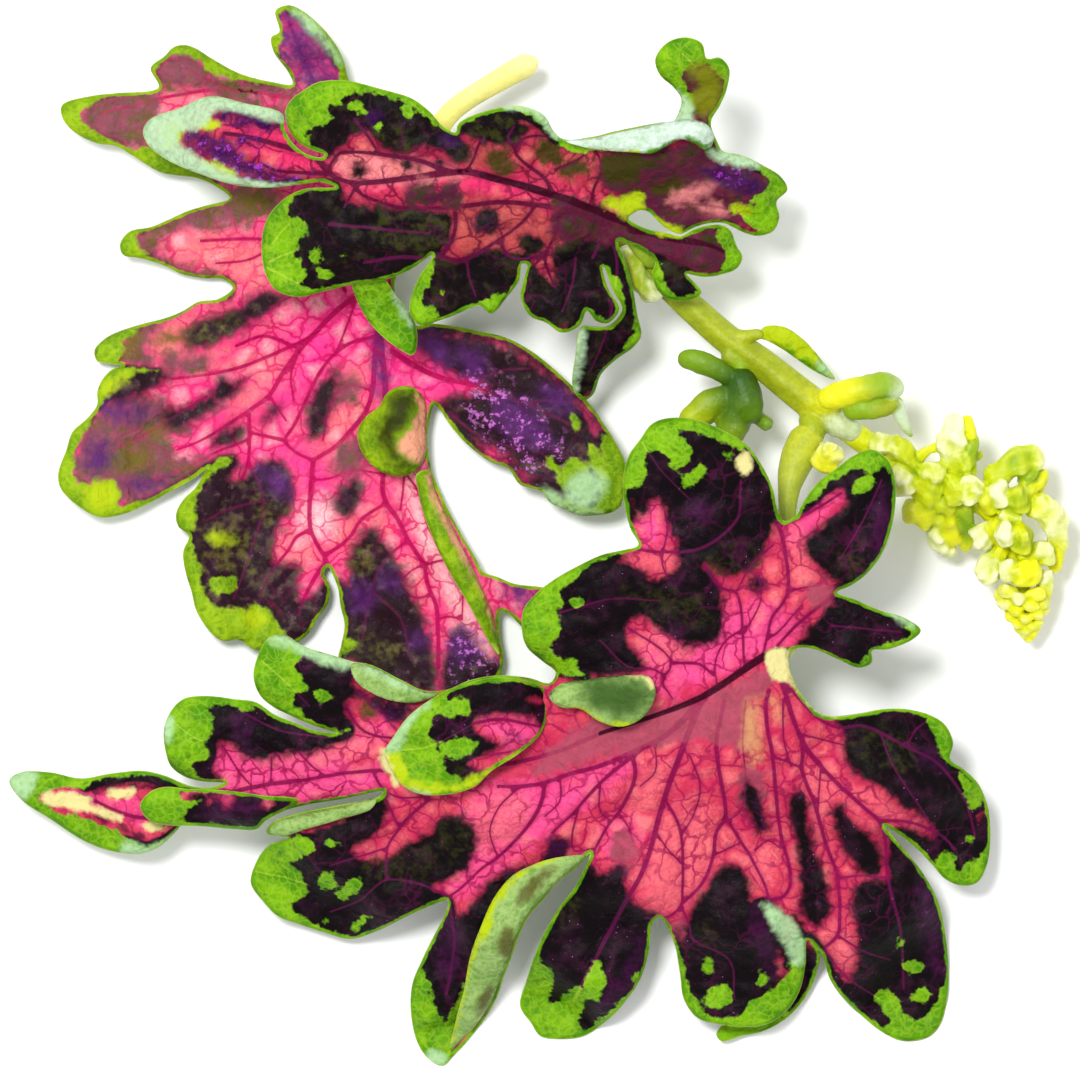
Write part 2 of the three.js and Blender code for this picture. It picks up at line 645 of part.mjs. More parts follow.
function leafSurface({ lobes, heights, lifts, droop }) {
  const { points, lobeOf } = outlineOf(lobes);
  const field = heightField(heights);
  const lifted = Object.entries(lifts).map(([lobe, amount]) => {
    const polygon = points.filter((_, index) => lobeOf[index] === lobe);
    return { lobe, polygon, lift: liftOf(polygon, amount) };
  });
  const heightAt = (p, index = -1) => {
    let z = field(p) - droop * Math.exp(-distanceToLine(p, points, true) / DROOP_REACH);
    for (const { lobe, polygon, lift } of lifted) {
      const belongs = index >= 0 && index < points.length ? lobeOf[index] === lobe : isInside(p, polygon);
      if (belongs) z += lift(p);
    }
    return Math.max(z, BLADE / 2);
  };
  return { points, heightAt };
}

// A turned-over edge or a lobe that overlaps the blade: it springs from its root line on the blade and
// rises off it, or dips under it, by rise.
function flap({ outline, root, rise }, surface) {
  const curve = new THREE.CatmullRomCurve3(outline.map(([x, y]) => drawn(x, y)), true, 'centripetal');
  const points = curve.getPoints(outline.length).slice(0, -1).map((p) => new THREE.Vector2(p.x, p.y));
  if (THREE.ShapeUtils.area(points) < 0) points.reverse();
  const rootLine = root.map(flat);
  const reach = 1.5 * Math.abs(rise);
  const heightAt = (p) => {
    const away = clamp01(distanceToLine(p, rootLine, false) / reach);
    return Math.max(surface.heightAt(p) + rise * Math.sin((away * Math.PI) / 2), FLAP_BLADE / 2);
  };
  return sheet(points, FLAP_STEP, FLAP_BLADE, heightAt);
}

function leaf(drawing) {
  const surface = leafSurface(drawing);
  const pieces = [sheet(surface.points, GRID_STEP, BLADE, surface.heightAt)];
  (drawing.flaps ?? []).forEach((shape) => pieces.push(flap(shape, surface)));
  if (drawing.petiole) {
    const { petiole, midrib } = drawing;
    const under = midrib.path.map((place) => {
      const p = flat(place);
      return new THREE.Vector3(p.x, p.y, surface.heightAt(p) - BLADE / 2);
    });
    const line = [...petiole.path.map(([x, y, z]) => drawn(x, y, z)), ...under];
    pieces.push(rod(line, [...petiole.radius, ...midrib.radius], PETIOLE_SIDES));
  }
  return pieces.length > 1 ? fuse(pieces) : pieces[0];
}

// ---------------------------------------------------------------------------------- young growth

const path = (places) => places.map(([x, y, z]) => drawn(x, y, z));

// The petiole whose leaf has dropped, opposite the left leaf's.
function barePetiole() {
  const line = path([[428, 149, 9.4], [450, 113, 8.6], [500, 79, 7.2], [537, 59, 6]]);
  return rod(line, [1.1, 1, 1, 1.05, 1.2], 10);
}

function paleBud() {
  return fuse([
    budBody(drawn(650, 306, 11.3), drawn(619, 247, 11.7), 1.15),
    budBody(drawn(658, 309, 11.3), drawn(638, 272, 11.5), 0.9),
  ]);
}

function darkShoot() {
  return fuse([
    budBody(drawn(744, 420, 9.4), drawn(734, 370, 9.6), 2.1),
    rod(path([[736, 380, 10], [712, 366, 10.4], [690, 359, 10], [680, 361, 9.6]]), [1.2, 1.1, 1.2, 0.9], 7),
    rod(path([[734, 396, 9.4], [712, 404, 9.2], [694, 420, 9], [684, 442, 9]]), [1.3, 1.5, 1.5, 1], 7),
    rod(path([[738, 402, 9.4], [734, 424, 9], [726, 452, 9]]), [1.6, 1.6, 1.1], 7),
    rod(path([[744, 408, 9], [756, 418, 8.6], [769, 427, 8.2]]), [0.9, 0.8, 0.7], 6),
  ]);
}

function foldedBract() {
  return fuse([
    rod(path([[832, 396, 11.2], [866, 387, 12], [890, 385, 11.8], [904, 394, 11.2]]), [1, 1.5, 1.4, 0.9], 8),
    rod(path([[850, 400, 11.6], [868, 409, 11.6], [888, 409, 11.4], [900, 400, 11]]), [1, 1.2, 1, 0.8], 8),
    rod(path([[898, 398, 11.2], [905, 412, 10.4], [909, 426, 9.8], [913, 438, 9.2]]), [0.8, 0.5, 0.3], 6),
  ]);
}

// ---------------------------------------------------------------------------------- the raceme

const RACHIS = [
  [828, 416, 9], [850, 431, 8.8], [880, 452, 8.4], [915, 470, 8], [950, 488, 7.4], [985, 508, 6.6],
  [1008, 535, 5.8], [1021, 575, 5], [1029, 610, 4.2], [1030, 636, 3.4],
];
const RACHIS_RADIUS = [1.35, 1.35, 1.2, 1.1, 1, 0.95, 0.9, 0.8, 0.6, 0.35];

// Buds: where each springs from the rachis (0 to 1 along it), where its point is, its radius and length.
const BUDS = [
  [0.24, [934, 522, 6.4], 2, 6], [0.3, [905, 523, 5], 1.6, 5], [0.36, [954, 411, 10.4], 1.7, 6],
  [0.42, [978, 434, 9], 1.3, 5], [0.4, [932, 470, 10.6], 1.7, 4], [0.45, [958, 559, 0.2], 2.1, 6],
  [0.47, [941, 540, 3], 1.4, 4.4], [0.5, [978, 473, 10], 1.7, 4], [0.55, [1048, 452, 7.6], 1.7, 6.4],
  [0.54, [1018, 458, 6], 1.3, 5], [0.58, [1024, 488, 9.4], 1.7, 4], [0.6, [972, 540, 3], 1.6, 4.2],
  [0.62, [1064, 520, 5.6], 1.4, 5], [0.64, [1050, 543, 4], 1.4, 4.6], [0.66, [1000, 536, 9.2], 1.5, 3.6],
  [0.7, [984, 566, 0.3], 1.6, 4.4], [0.7, [1062, 562, 0.3], 1.5, 4.2],
];
const WHORLS = { first: 0.72, last: 0.96, rows: 4, buds: 5, radius: [1.35, 0.6], length: [3.6, 1.6] };
const WHORL_RAKE = 0.9; // how far a whorl's buds lean towards the tip
const RACEME_BRACT = [[856, 436, 9.4], [884, 440, 10.4], [908, 448, 10], [926, 466, 8.4]];

function raceme() {
  const curve = new THREE.CatmullRomCurve3(path(RACHIS), false, 'centripetal');
  const pieces = [rod(path(RACHIS), RACHIS_RADIUS, 8)];
  const addBud = (share, point, radius, length) => {
    const from = curve.getPointAt(share);
    const direction = point.clone().sub(from).normalize();
    const base = point.clone().addScaledVector(direction, -length);
    if (base.distanceTo(from) > radius) {
      const inBud = base.clone().addScaledVector(direction, radius / 2);
      pieces.push(rod([from, inBud], [BUD_STALK, BUD_STALK], 6));
    }
    pieces.push(budBody(base, point, radius));
  };
  BUDS.forEach(([share, [x, y, z], radius, length]) => addBud(share, drawn(x, y, z), radius, length));
  for (let row = 0; row < WHORLS.rows; row += 1) {
    const along = row / (WHORLS.rows - 1);
    const share = THREE.MathUtils.lerp(WHORLS.first, WHORLS.last, along);
    const radius = THREE.MathUtils.lerp(...WHORLS.radius, along);
    const length = THREE.MathUtils.lerp(...WHORLS.length, along);
    const tangent = curve.getTangentAt(share);
    const side = new THREE.Vector3(0, 0, 1).cross(tangent).normalize();
    const up = tangent.clone().cross(side);
    for (let k = 0; k < WHORLS.buds; k += 1) {
      const angle = ((k + (row % 2) / 2) / WHORLS.buds) * Math.PI * 2;
      const outward = side.clone().multiplyScalar(Math.cos(angle)).addScaledVector(up, Math.sin(angle));
      const direction = outward.addScaledVector(tangent, WHORL_RAKE).normalize();
      const from = curve.getPointAt(share);
      pieces.push(budBody(from, from.clone().addScaledVector(direction, length), radius));
    }
  }
  pieces.push(rod(path(RACEME_BRACT), [1, 1, 0.9, 0.7], 7));
  const table = bare(new THREE.BoxGeometry(TABLE.width, TABLE.width, TABLE.depth));
  return fuse(pieces, mergeVertices(table.translate(0, 0, -TABLE.depth / 2), MERGE));
}

// ---------------------------------------------------------------------------------- assembly

const sprig = new THREE.Group();

function add(name, geometry, color, roughness) {
  const mesh = new THREE.Mesh(geometry, new THREE.MeshStandardMaterial({ color, roughness, metalness: 0 }));
  mesh.name = name;
  sprig.add(mesh);
}

add('stem', rod(path(STEM_LINE), STEM_RADIUS, STEM_SIDES, SQUARENESS), TOP_COLOURS.stem, 0.45);
add('bare_petiole', barePetiole(), TOP_COLOURS.pale, 0.5);
add('leaf_left', leaf(LEAF_LEFT), LEAF_COLOURS.left, 0.55);
add('leaf_top', leaf(LEAF_TOP), LEAF_COLOURS.top, 0.5);
add('leaf_bottom', leaf(LEAF_BOTTOM), LEAF_COLOURS.bottom, 0.5);
add('axil_bud', paleBud(), TOP_COLOURS.pale, 0.5);
add('axil_shoot', darkShoot(), TOP_COLOURS.shoot, 0.5);
add('axil_leaf', leaf(YOUNG_LEAF), TOP_COLOURS.stem, 0.5);
add('bract', foldedBract(), TOP_COLOURS.pale, 0.45);
add('bract_bud', budBody(drawn(826, 474, 12.4), drawn(830, 438, 12.2), 1), TOP_COLOURS.pale, 0.45);
add('raceme', raceme(), TOP_COLOURS.raceme, 0.45);

export default sprig;
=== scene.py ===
"""The looks of a cut flowering coleus sprig: three large lobed leaves, young growth and a flower spike.

Places are drawn in tenths of a millimetre, x to the right and y downwards, with heights in millimetres.
Shapes are worked out in millimetres and turned into metres as their meshes are made.
"""

import math

import bpy
import numpy as np
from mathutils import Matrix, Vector
from mathutils.geometry import delaunay_2d_cdt
from mathutils.kdtree import KDTree


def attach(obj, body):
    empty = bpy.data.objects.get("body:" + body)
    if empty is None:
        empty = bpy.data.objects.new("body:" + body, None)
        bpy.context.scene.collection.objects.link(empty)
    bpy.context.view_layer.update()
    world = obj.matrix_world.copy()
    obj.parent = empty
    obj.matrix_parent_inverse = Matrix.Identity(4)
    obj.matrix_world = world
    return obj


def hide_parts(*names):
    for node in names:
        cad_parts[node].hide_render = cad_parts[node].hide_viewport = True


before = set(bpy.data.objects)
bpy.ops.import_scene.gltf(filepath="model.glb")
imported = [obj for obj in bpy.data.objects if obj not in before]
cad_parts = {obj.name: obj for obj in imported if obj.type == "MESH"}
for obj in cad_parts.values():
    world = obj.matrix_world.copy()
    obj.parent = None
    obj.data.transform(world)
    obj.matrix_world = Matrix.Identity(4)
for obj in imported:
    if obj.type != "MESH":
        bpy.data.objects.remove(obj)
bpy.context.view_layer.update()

TENTH = 0.1  # one drawing unit, in millimetres
CENTRE = (536.2, 536.5)  # the drawing's point over the sprig's origin
METRES = 0.001  # millimetres to metres
TOUCHING = 1e-6  # places nearer than this count as this far apart
MERGED = 1e-5  # and these as one
SMALL = 1e-9  # an area or a length that counts as none
TINY = 1e-12  # the least that anything is divided by

# The sheets of the leaves, in millimetres.
EDGE_STEP = 0.3  # along a leaf's outline
VEIN_STEP = 0.5  # along a vein
PATCH_STEP = 0.4  # along the edge of a patch of colour
SHEET_STEP = 0.42  # between the points inside a sheet
ROW_STEP = 0.866  # from row to row of them, as a share of that
SHAKE = 0.12  # how far each is moved out of its row, as a share
EDGE_GAP = 0.5  # the least that one lies inside the outline, as a share
VEIN_GAP = 0.42  # and beside a vein
VEIN_STOP = 0.2  # a vein's edges end this far inside the outline
VEIN_FAR = 3.0  # a vein is felt no further than this
ON_LINE = 0.02  # nearer than this to a line is on it
ON_RIM = 0.05  # and nearer than this to a margin is on it
HEIGHT_REACH = 7  # how far a given height is felt round its place, squared
DROOP_REACH = 2.4  # width of the band along the margin that bends down
LIFT_POWER = 1.4  # a lobe lifts slowly at its root and faster towards its tip
BLADE_HALF = 0.15  # half the thickness of a leaf
RIM_HALF = 0.06  # and at its rim
LOWEST = 0.2  # the lowest that a sheet's middle may lie
PUFF = 0.32  # how far the leaf rises between its veins
PUFF_REACH = 0.9  # and how far from a vein it has risen
CRUMPLE = 0.1  # the small waves all over a sheet
CRUMPLE_WAVE = 2.2
EDGE_WAVE = 0.16  # and the longer ones along its margin
EDGE_WAVELENGTH = 4.5
EDGE_BAND = 1.5
MARGIN_BAND = 1.2  # within this of its edge a sheet lies flat
FLAP_BEND = 1.5  # a flap bends up over this many times its rise
RIB_WIDTH = 9  # a vein of this width or more is a rib
RIB_DROP = 0.25  # how far a midrib stays below its blade
FADE = 1.5  # how far round a patch its depth is kept
WAVES = 9  # as many are laid over one another in a ripple
WAVE_SPREAD = (0.6, 1.7)  # the shortest and the longest of them, as shares of the wave asked for
BATCH = 3000  # as many spots are measured at once

# The stalks and buds.
STALK_STEP = 0.4  # along a stalk
CORNERS = 4  # round a squarish one
BLUNT = 0.1  # how blunt a stalk's ends are
RIB_STEP = 1.5  # along the part of it under a blade
BUD_STEP = 0.3  # along a bud
BUD_ENDS = 8  # the higher, the blunter a bud's ends
BUD_POINT = 0.02  # and this is left of its width there, squared
BUD_TWIST = 1.2  # how far a bud's ridges turn from end to end
BUD_LUMPS = 1.6  # the size of the lumps on it
BUD_SEEDS = 31  # the first seed of them
FLOOR_GAP = 0.02  # a bud's points stay this far above the floor
EVENING = 0.5  # how much each round evens a skin
SKIN_NEAR = 4  # as many points of the shapes give each point of a skin its tones
SKIN_BLEND = 0.1  # the wider, the softer one tone goes over into the next
CREST_ROUNDS = 14  # how often a skin is smoothed to tell its crests, which get a painted highlight, from its grooves, which get painted shade
CREST_HIGHLIGHT = (-0.7, 0.6)  # painted shade and painted highlight: how much less pale the grooves are and how much paler the crests
GROOVE_SHADE = (-0.8, 0.6)  # and how much greener the grooves are and less green the crests, the same painted shade and highlight
PALE_SHARE = 0.8  # what is left of the paleness drawn, under the painted crest highlight
PALE_MOST = 1.1  # the palest that a point may be, with the painted crest highlight on its drawn paleness
PALE_CURVE = 1.7  # above 1, half tones of it are held back
KINDS = (
    "dark", "maroon", "dusk", "violet", "spark", "olive", "hot", "peach", "sand", "green", "sage", "lime",
    "mint", "cream",
)

random = np.random.default_rng(11)

# ------------------------------------------------------------------------------- the drawing of the leaves

# Each leaf's outline runs round it lobe by lobe, each lobe from one notch to the next.
LEAF_TOP = {
    "lobes": {
        "hanging": [618, 241, 625, 262, 632, 287, 637, 315, 641, 335, 634, 346, 615, 360, 601, 374, 593,
            394, 583, 400, 573, 388, 575, 358, 582, 327, 594, 327, 609, 326, 622, 310, 613, 291, 604, 268],
        "lower_right": [602, 267, 608, 290, 619, 309, 608, 323, 596, 321, 587, 311, 579, 326, 562, 333, 546,
            323, 530, 316, 521, 298, 524, 281, 527, 265],
        "lower_middle": [522, 264, 519, 281, 507, 297, 491, 314, 480, 306, 458, 314, 438, 321, 421, 326,
            410, 313, 412, 296, 420, 276, 430, 262],
        "lower_left": [433, 255, 410, 270, 385, 280, 350, 285, 325, 291, 298, 297, 276, 290, 265, 272, 262,
            242, 268, 218, 284, 200, 305, 190, 336, 188],
        "tip": [322, 183, 300, 185, 268, 188, 235, 185, 205, 176, 166, 159, 147, 143, 143, 130, 150, 119,
            180, 108, 210, 97, 245, 104, 283, 115, 285, 130, 297, 148, 312, 157, 324, 158],
        "upper_left": [325, 155, 316, 152, 301, 144, 290, 131, 286, 112, 293, 100, 304, 92, 318, 84, 345,
            82, 380, 90, 412, 100, 430, 113, 442, 127],
        "upper_middle": [456, 134, 459, 125, 482, 114, 520, 108, 544, 117, 554, 133],
        "upper_right": [564, 141, 590, 139, 612, 134, 640, 128, 664, 124],
        "twisted": [672, 124, 681, 102, 674, 90, 659, 76, 655, 61, 667, 45, 685, 40, 701, 46, 706, 61, 719,
            60, 728, 70, 726, 90, 719, 107, 710, 124],
        "right_upper": [716, 142, 722, 152, 740, 156, 762, 166, 780, 177, 787, 190, 776, 202, 779, 217, 773,
            231, 758, 236, 745, 233, 732, 227, 722, 223, 706, 224, 692, 228.5, 680, 234.5, 668, 230, 656,
            220, 648, 212, 638, 211],
        "right_lower": [628, 219, 636, 225, 648, 230, 668, 234, 680, 237, 692, 231, 706, 226.5, 720, 225.5,
            730, 231, 736, 246, 742, 257, 737, 268, 720, 275, 702, 277],
        "heel": [686, 274, 695, 284, 701, 293, 689, 300, 668, 299, 656, 288, 652, 274, 655, 262, 646, 253,
            632, 246],
    },
    "heights": [338, 178, 17, 450, 176, 18.5, 560, 195, 18.5, 628, 226, 16, 143, 131, 10, 240, 145, 14.5,
        360, 100, 17, 430, 122, 18.5, 520, 112, 20.5, 640, 138, 20, 690, 50, 22, 700, 115, 20, 785, 190, 14,
        745, 170, 16.5, 765, 232, 13, 740, 256, 13, 690, 240, 15, 690, 294, 14, 584, 400, 8.5, 610, 340, 12,
        625, 270, 15, 560, 325, 15.5, 600, 300, 16, 440, 318, 13, 480, 300, 15, 330, 285, 12.5, 267, 250,
        12, 350, 235, 16.5, 440, 225, 17.5, 520, 240, 17.5],
    "lifts": {
        "hanging": -2.2,
        "lower_right": 1.2,
        "tip": -1,
        "upper_left": 2.2,
        "upper_middle": 1.5,
        "twisted": 2,
    },
    "droop": 0.7,
    "flaps": {
        "rolled_margin": {
            "outline": [566, 143, 590, 141, 612, 136, 640, 130, 668, 124, 690, 122, 705, 126, 713, 139, 706,
                152, 694, 145, 680, 141, 667, 147, 651, 155, 632, 154, 604, 152, 584, 149],
            "root": [566, 141, 612, 134, 672, 122, 708, 124],
            "rise": 2.2,
            "rolled": True,
        },
        "hanging_tooth": {
            "outline": [353, 279, 380, 276, 396, 295, 408, 310, 416, 328, 417, 343, 413, 355, 396, 347, 378,
                332, 363, 312],
            "root": [340, 274, 392, 268],
            "rise": -3.4,
        },
    },
}

LEAF_LEFT = {
    "lobes": {
        "throat": [404, 236, 400, 258, 394, 286, 402, 312, 416, 325],
        "right": [430, 323, 455, 326, 480, 331, 505, 337, 525, 347, 545, 361, 563, 377, 590, 404, 604, 424,
            616, 443, 624, 460, 625, 478, 621, 505, 612, 512, 597, 515, 580, 515, 564, 509, 550, 502, 541,
            491, 520, 484, 508, 468, 490, 461, 465, 442, 450, 425, 441, 411],
        "right_edge": [434, 404, 429, 420, 427, 440, 431, 470, 440, 492, 448, 510, 463, 538, 474, 556],
        "finger": [482, 571, 497, 577, 515, 584, 545, 588, 572, 597, 578, 612, 566, 628, 545, 637, 524, 628,
            510, 615],
        "bottom": [500, 611, 499, 632, 503, 662, 494, 684, 470, 700, 432, 708, 392, 700, 352, 682, 338, 660,
            341, 645, 344, 625, 340, 606, 337, 587],
        "lower_left": [327, 567, 323, 573, 329, 587, 327, 604, 317, 618, 308, 633, 296, 643, 272, 652, 252,
            649, 238, 640, 222, 641, 211, 634, 196, 612, 191, 594, 184, 570, 182, 552, 188, 536, 177, 526,
            175, 514, 182, 500, 195, 487, 203, 473],
        "left": [207, 468, 190, 480, 170, 491, 140, 507, 118, 515, 98, 517, 80, 508, 60, 489, 57, 474, 65,
            450, 71, 432, 87, 417, 96, 404, 96, 391, 101, 379, 108, 371, 114, 367.5, 120, 366],
        "left_middle": [120, 364.5, 114, 364, 108, 363, 102, 362, 96, 361, 93, 350, 105, 337, 135, 325, 165,
            317, 182, 310, 197, 301, 217, 298],
        "left_upper": [232, 287, 222, 278, 202, 277, 178, 272, 164, 265, 138, 257, 122, 254, 119, 243, 128,
            231, 150, 226, 187, 210, 207, 204],
        "upper_left": [229, 197, 213, 184, 197, 177, 160, 171, 134, 156, 115, 145, 96, 142, 72, 130, 61,
            116, 61, 104, 90, 95, 115, 92, 158, 86, 150, 67, 164, 55, 173, 46, 184, 44, 194, 47, 210, 57,
            238, 72, 272, 81],
        "top": [292, 83, 288, 71, 273, 50, 271, 36, 279, 31, 275, 10, 283, 5, 293, 5, 317, 22, 340, 52, 349,
            82],
        "neck": [362, 112, 374, 150, 384, 190, 394, 220],
    },
    "heights": [400, 236, 4.6, 372, 150, 3.8, 345, 100, 4.4, 290, 12, 5.8, 265, 95, 4.4, 182, 52, 5.2, 65,
        110, 4.4, 150, 120, 4, 122, 246, 3.2, 200, 235, 2.4, 95, 350, 2.4, 190, 330, 0.9, 64, 482, 3.4, 100,
        420, 2.6, 170, 430, 0.8, 184, 520, 2.8, 215, 625, 3.2, 255, 560, 0.8, 322, 600, 2.6, 345, 640, 2.8,
        430, 700, 3.4, 395, 590, 0.8, 570, 615, 3.6, 490, 640, 3, 432, 440, 3.2, 470, 540, 3.4, 330, 440,
        -0.9, 290, 400, -0.7, 370, 500, -0.6, 300, 480, -0.7, 370, 360, 0.6, 470, 380, 3.4, 560, 430, 4.6,
        620, 490, 5, 500, 340, 4.6, 320, 250, 2.6, 400, 300, 3.6],
    "lifts": {"left_middle": -0.8, "left": 0.9, "left_upper": 0.5},
    "droop": 0.3,
    "flaps": {
        "ear": {
            "outline": [424, 400, 412, 387, 396, 387, 386, 394, 379, 406, 366, 416, 358, 428, 358, 442, 364,
                456, 378, 470, 400, 476, 414, 471, 424, 458, 426, 430],
            "root": [430, 396, 427, 430, 430, 466],
            "rise": 2.6,
        },
        "rolled_strip": {
            "outline": [428, 470, 434, 490, 444, 512, 456, 536, 468, 560, 480, 585, 489, 606, 495, 630, 499,
                655, 490, 644, 478, 622, 467, 602, 455, 582, 443, 560, 432, 536, 423, 512, 418, 490, 416,
                474],
            "root": [434, 472, 452, 512, 480, 565, 497, 606, 502, 640],
            "rise": 2,
        },
    },
}

LEAF_BOTTOM = {
    "lobes": {
        "lower_first": [789, 652, 789, 668, 796, 686, 806, 701, 818, 712, 832, 716, 860, 713, 882, 709, 906,
            709, 930, 715, 945, 725, 953, 743, 950, 759, 963, 769, 977, 782, 987, 802, 991, 828, 988, 864,
            978, 883, 963, 886, 947, 880, 930, 862, 912, 844],
        "lower_second": [884, 825, 897, 841, 912, 859, 926, 878, 939, 903, 946, 932, 950, 968, 949, 998,
            942, 1026, 930, 1039, 905, 1043, 885, 1035, 862, 1017, 843, 998, 831, 980],
        "lower_third": [821, 952, 808, 940, 806, 965, 800, 992, 788, 1011, 768, 1025, 745, 1028, 718, 1025,
            698, 1019, 685, 1002, 680, 972, 674, 942],
        "lower_fourth": [660, 917, 652, 924, 649, 950, 641, 978, 625, 1003, 606, 1023, 584, 1038, 560, 1041,
            540, 1038, 531, 1025, 520, 1008, 527, 980, 535, 955, 546, 930, 560, 907, 577, 884],
        "lower_fifth": [590, 853, 578, 866, 559, 881, 543, 900, 529, 916, 519, 936, 513, 954, 504, 977, 496,
            1000, 484, 1021, 468, 1042, 454, 1057, 442, 1068, 428, 1061, 417, 1045, 411, 1018, 412, 986,
            421, 963, 436, 932, 445, 915],
        "lower_sixth": [448, 901, 425, 908, 400, 920, 376, 932, 350, 940, 322, 933, 298, 925, 277, 917, 262,
            902, 250, 884, 256, 862, 268, 846, 288, 838, 266, 833, 272, 823, 300, 813, 340, 805, 378, 797],
        "tip": [384, 791, 340, 799, 300, 806, 266, 817, 258, 825, 230, 822, 185, 822, 175, 832, 160, 846,
            140, 854, 112, 852, 84, 842, 50, 820, 20, 800, 8, 781, 20, 773, 48, 773, 80, 779, 110, 774, 142,
            771, 165, 776, 186, 785, 205, 788],
        "upper_first": [224, 783, 202, 781, 184, 776, 171, 766, 166, 752, 164, 730, 171, 711, 184, 699, 205,
            696, 235, 699, 256, 702, 274, 714, 295, 723, 316, 731],
        "upper_second": [337, 733, 314, 725, 293, 716, 273, 706, 260, 694, 254, 675, 260, 652, 270, 637,
            285, 635, 304, 646, 332, 655, 352, 661, 372, 665, 400, 679, 424, 690],
        "upper_third": [446, 690, 470, 680, 500, 675, 530, 678],
        "upper_fourth": [550, 683, 556, 672, 542, 660, 527, 646, 522, 628, 524, 609, 536, 594, 552, 581,
            576, 567, 602, 555, 624, 550],
        "upper_fifth": [638, 545, 630, 528, 624, 503, 623, 478, 629, 455, 641, 438, 651, 425, 667, 419, 692,
            420, 720, 430, 745, 445, 761, 466, 772, 490, 776, 508],
        "upper_sixth": [783, 521, 794, 517, 802, 503, 816, 484, 835, 469, 855, 455, 871, 450, 886, 460, 893,
            477, 894, 504, 889, 532, 880, 555, 864, 575, 850, 585],
        "upper_seventh": [836, 592, 855, 600, 878, 610, 902, 617, 920, 630, 912, 639, 887, 649, 871, 650,
            871, 662, 858, 667, 838, 659, 818, 650, 802, 647],
    },
    "heights": [790, 655, 16, 700, 698, 16.5, 600, 735, 15.5, 500, 762, 14, 390, 772, 12.5, 260, 790, 10,
        145, 815, 7.5, 12, 781, 4.5, 100, 845, 4, 172, 722, 11.5, 265, 650, 13.5, 350, 668, 14.5, 330, 740,
        12.5, 430, 700, 15, 520, 680, 16.5, 528, 622, 19.5, 600, 562, 21.5, 640, 640, 18.5, 640, 440, 22,
        700, 424, 22, 762, 472, 20.5, 700, 530, 20.5, 781, 530, 18.5, 784, 590, 18, 870, 455, 19.5, 892,
        520, 18.5, 840, 540, 18.5, 916, 631, 15, 850, 622, 16.5, 950, 740, 10.5, 988, 850, 6, 880, 770,
        12.5, 948, 985, 1.4, 915, 1040, -1.6, 860, 900, 8.5, 700, 1015, 3.6, 780, 1005, 4, 740, 900, 10,
        548, 1036, -1.4, 600, 960, 7, 625, 860, 12, 444, 1062, -1.6, 424, 990, 3.6, 500, 905, 9.5, 252, 880,
        2.6, 325, 935, 2.6, 400, 870, 8.5, 335, 830, 9.5],
    "lifts": {
        "upper_first": -0.8,
        "upper_second": 1.6,
        "lower_third": 1,
        "lower_sixth": 0.6,
        "upper_fifth": 1.2,
    },
    "droop": 0.8,
    "flaps": {
        "tip_lobe": {
            "outline": [300, 800, 262, 795, 220, 790, 190, 789, 165, 787, 150, 792, 140, 806, 150, 821, 168,
                825, 200, 826, 236, 829, 256, 829, 266, 820],
            "root": [310, 790, 290, 812],
            "rise": 2.2,
        },
        "curled_strip": {
            "outline": [352, 664, 372, 667, 400, 681, 422, 691, 437, 694, 416, 702, 382, 697, 356, 680],
            "root": [350, 662, 374, 664, 402, 677, 430, 690],
            "rise": 1.6,
            "rolled": True,
        },
        "front_lobe": {
            "outline": [545, 690, 520, 679, 496, 677, 470, 682, 448, 690, 428, 701, 409, 716, 394, 736, 385,
                752, 391, 768, 402, 784, 420, 793, 445, 794, 474, 786, 492, 770, 520, 752, 543, 728],
            "root": [560, 668, 545, 700, 556, 760],
            "rise": 3,
        },
        "rolled_tip": {
            "outline": [549, 696, 560, 684, 582, 680, 604, 677, 628, 675, 648, 676, 655, 692, 643, 716, 621,
                726, 600, 721, 580, 708, 560, 706],
            "root": [549, 694, 566, 682, 604, 676, 650, 675],
            "rise": 2.4,
            "rolled": True,
        },
        "rolled_fifth": {
            "outline": [586, 856, 562, 876, 541, 898, 526, 916, 515, 938, 510, 956, 500, 978, 492, 1000,
                480, 1020, 464, 1040, 450, 1052, 456, 1020, 464, 990, 470, 958, 478, 934, 494, 898, 512,
                876, 534, 864, 558, 857],
            "root": [590, 856, 562, 880, 530, 916, 514, 954, 496, 1000, 454, 1056],
            "rise": 2.2,
            "rolled": True,
        },
        "rolled_sixth": {
            "outline": [376, 799, 340, 807, 300, 815, 276, 823, 269, 831, 280, 836, 306, 829, 340, 819, 372,
                808],
            "root": [380, 797, 340, 804, 300, 812, 268, 824],
            "rise": 1.5,
            "rolled": True,
        },
        "under_lobe": {
            "outline": [820, 950, 817, 976, 805, 1001, 786, 1021, 764, 1033, 742, 1038, 722, 1043, 717,
                1036, 738, 1012, 762, 984, 782, 956, 798, 930],
            "root": [822, 948, 798, 928],
            "rise": -2.3,
        },
    },
}

YOUNG_LEAF = {
    "lobes": {
        "whole": [758, 337, 764, 327, 784, 327, 804, 340, 821, 359, 835, 379, 815, 371, 797, 359, 781, 348,
            768, 341],
    },
    "heights": [757, 340, 10.4, 790, 336, 10.8, 815, 360, 9.4, 835, 379, 8.2],
    "lifts": {},
    "droop": 0.3,
    "flaps": {},
}

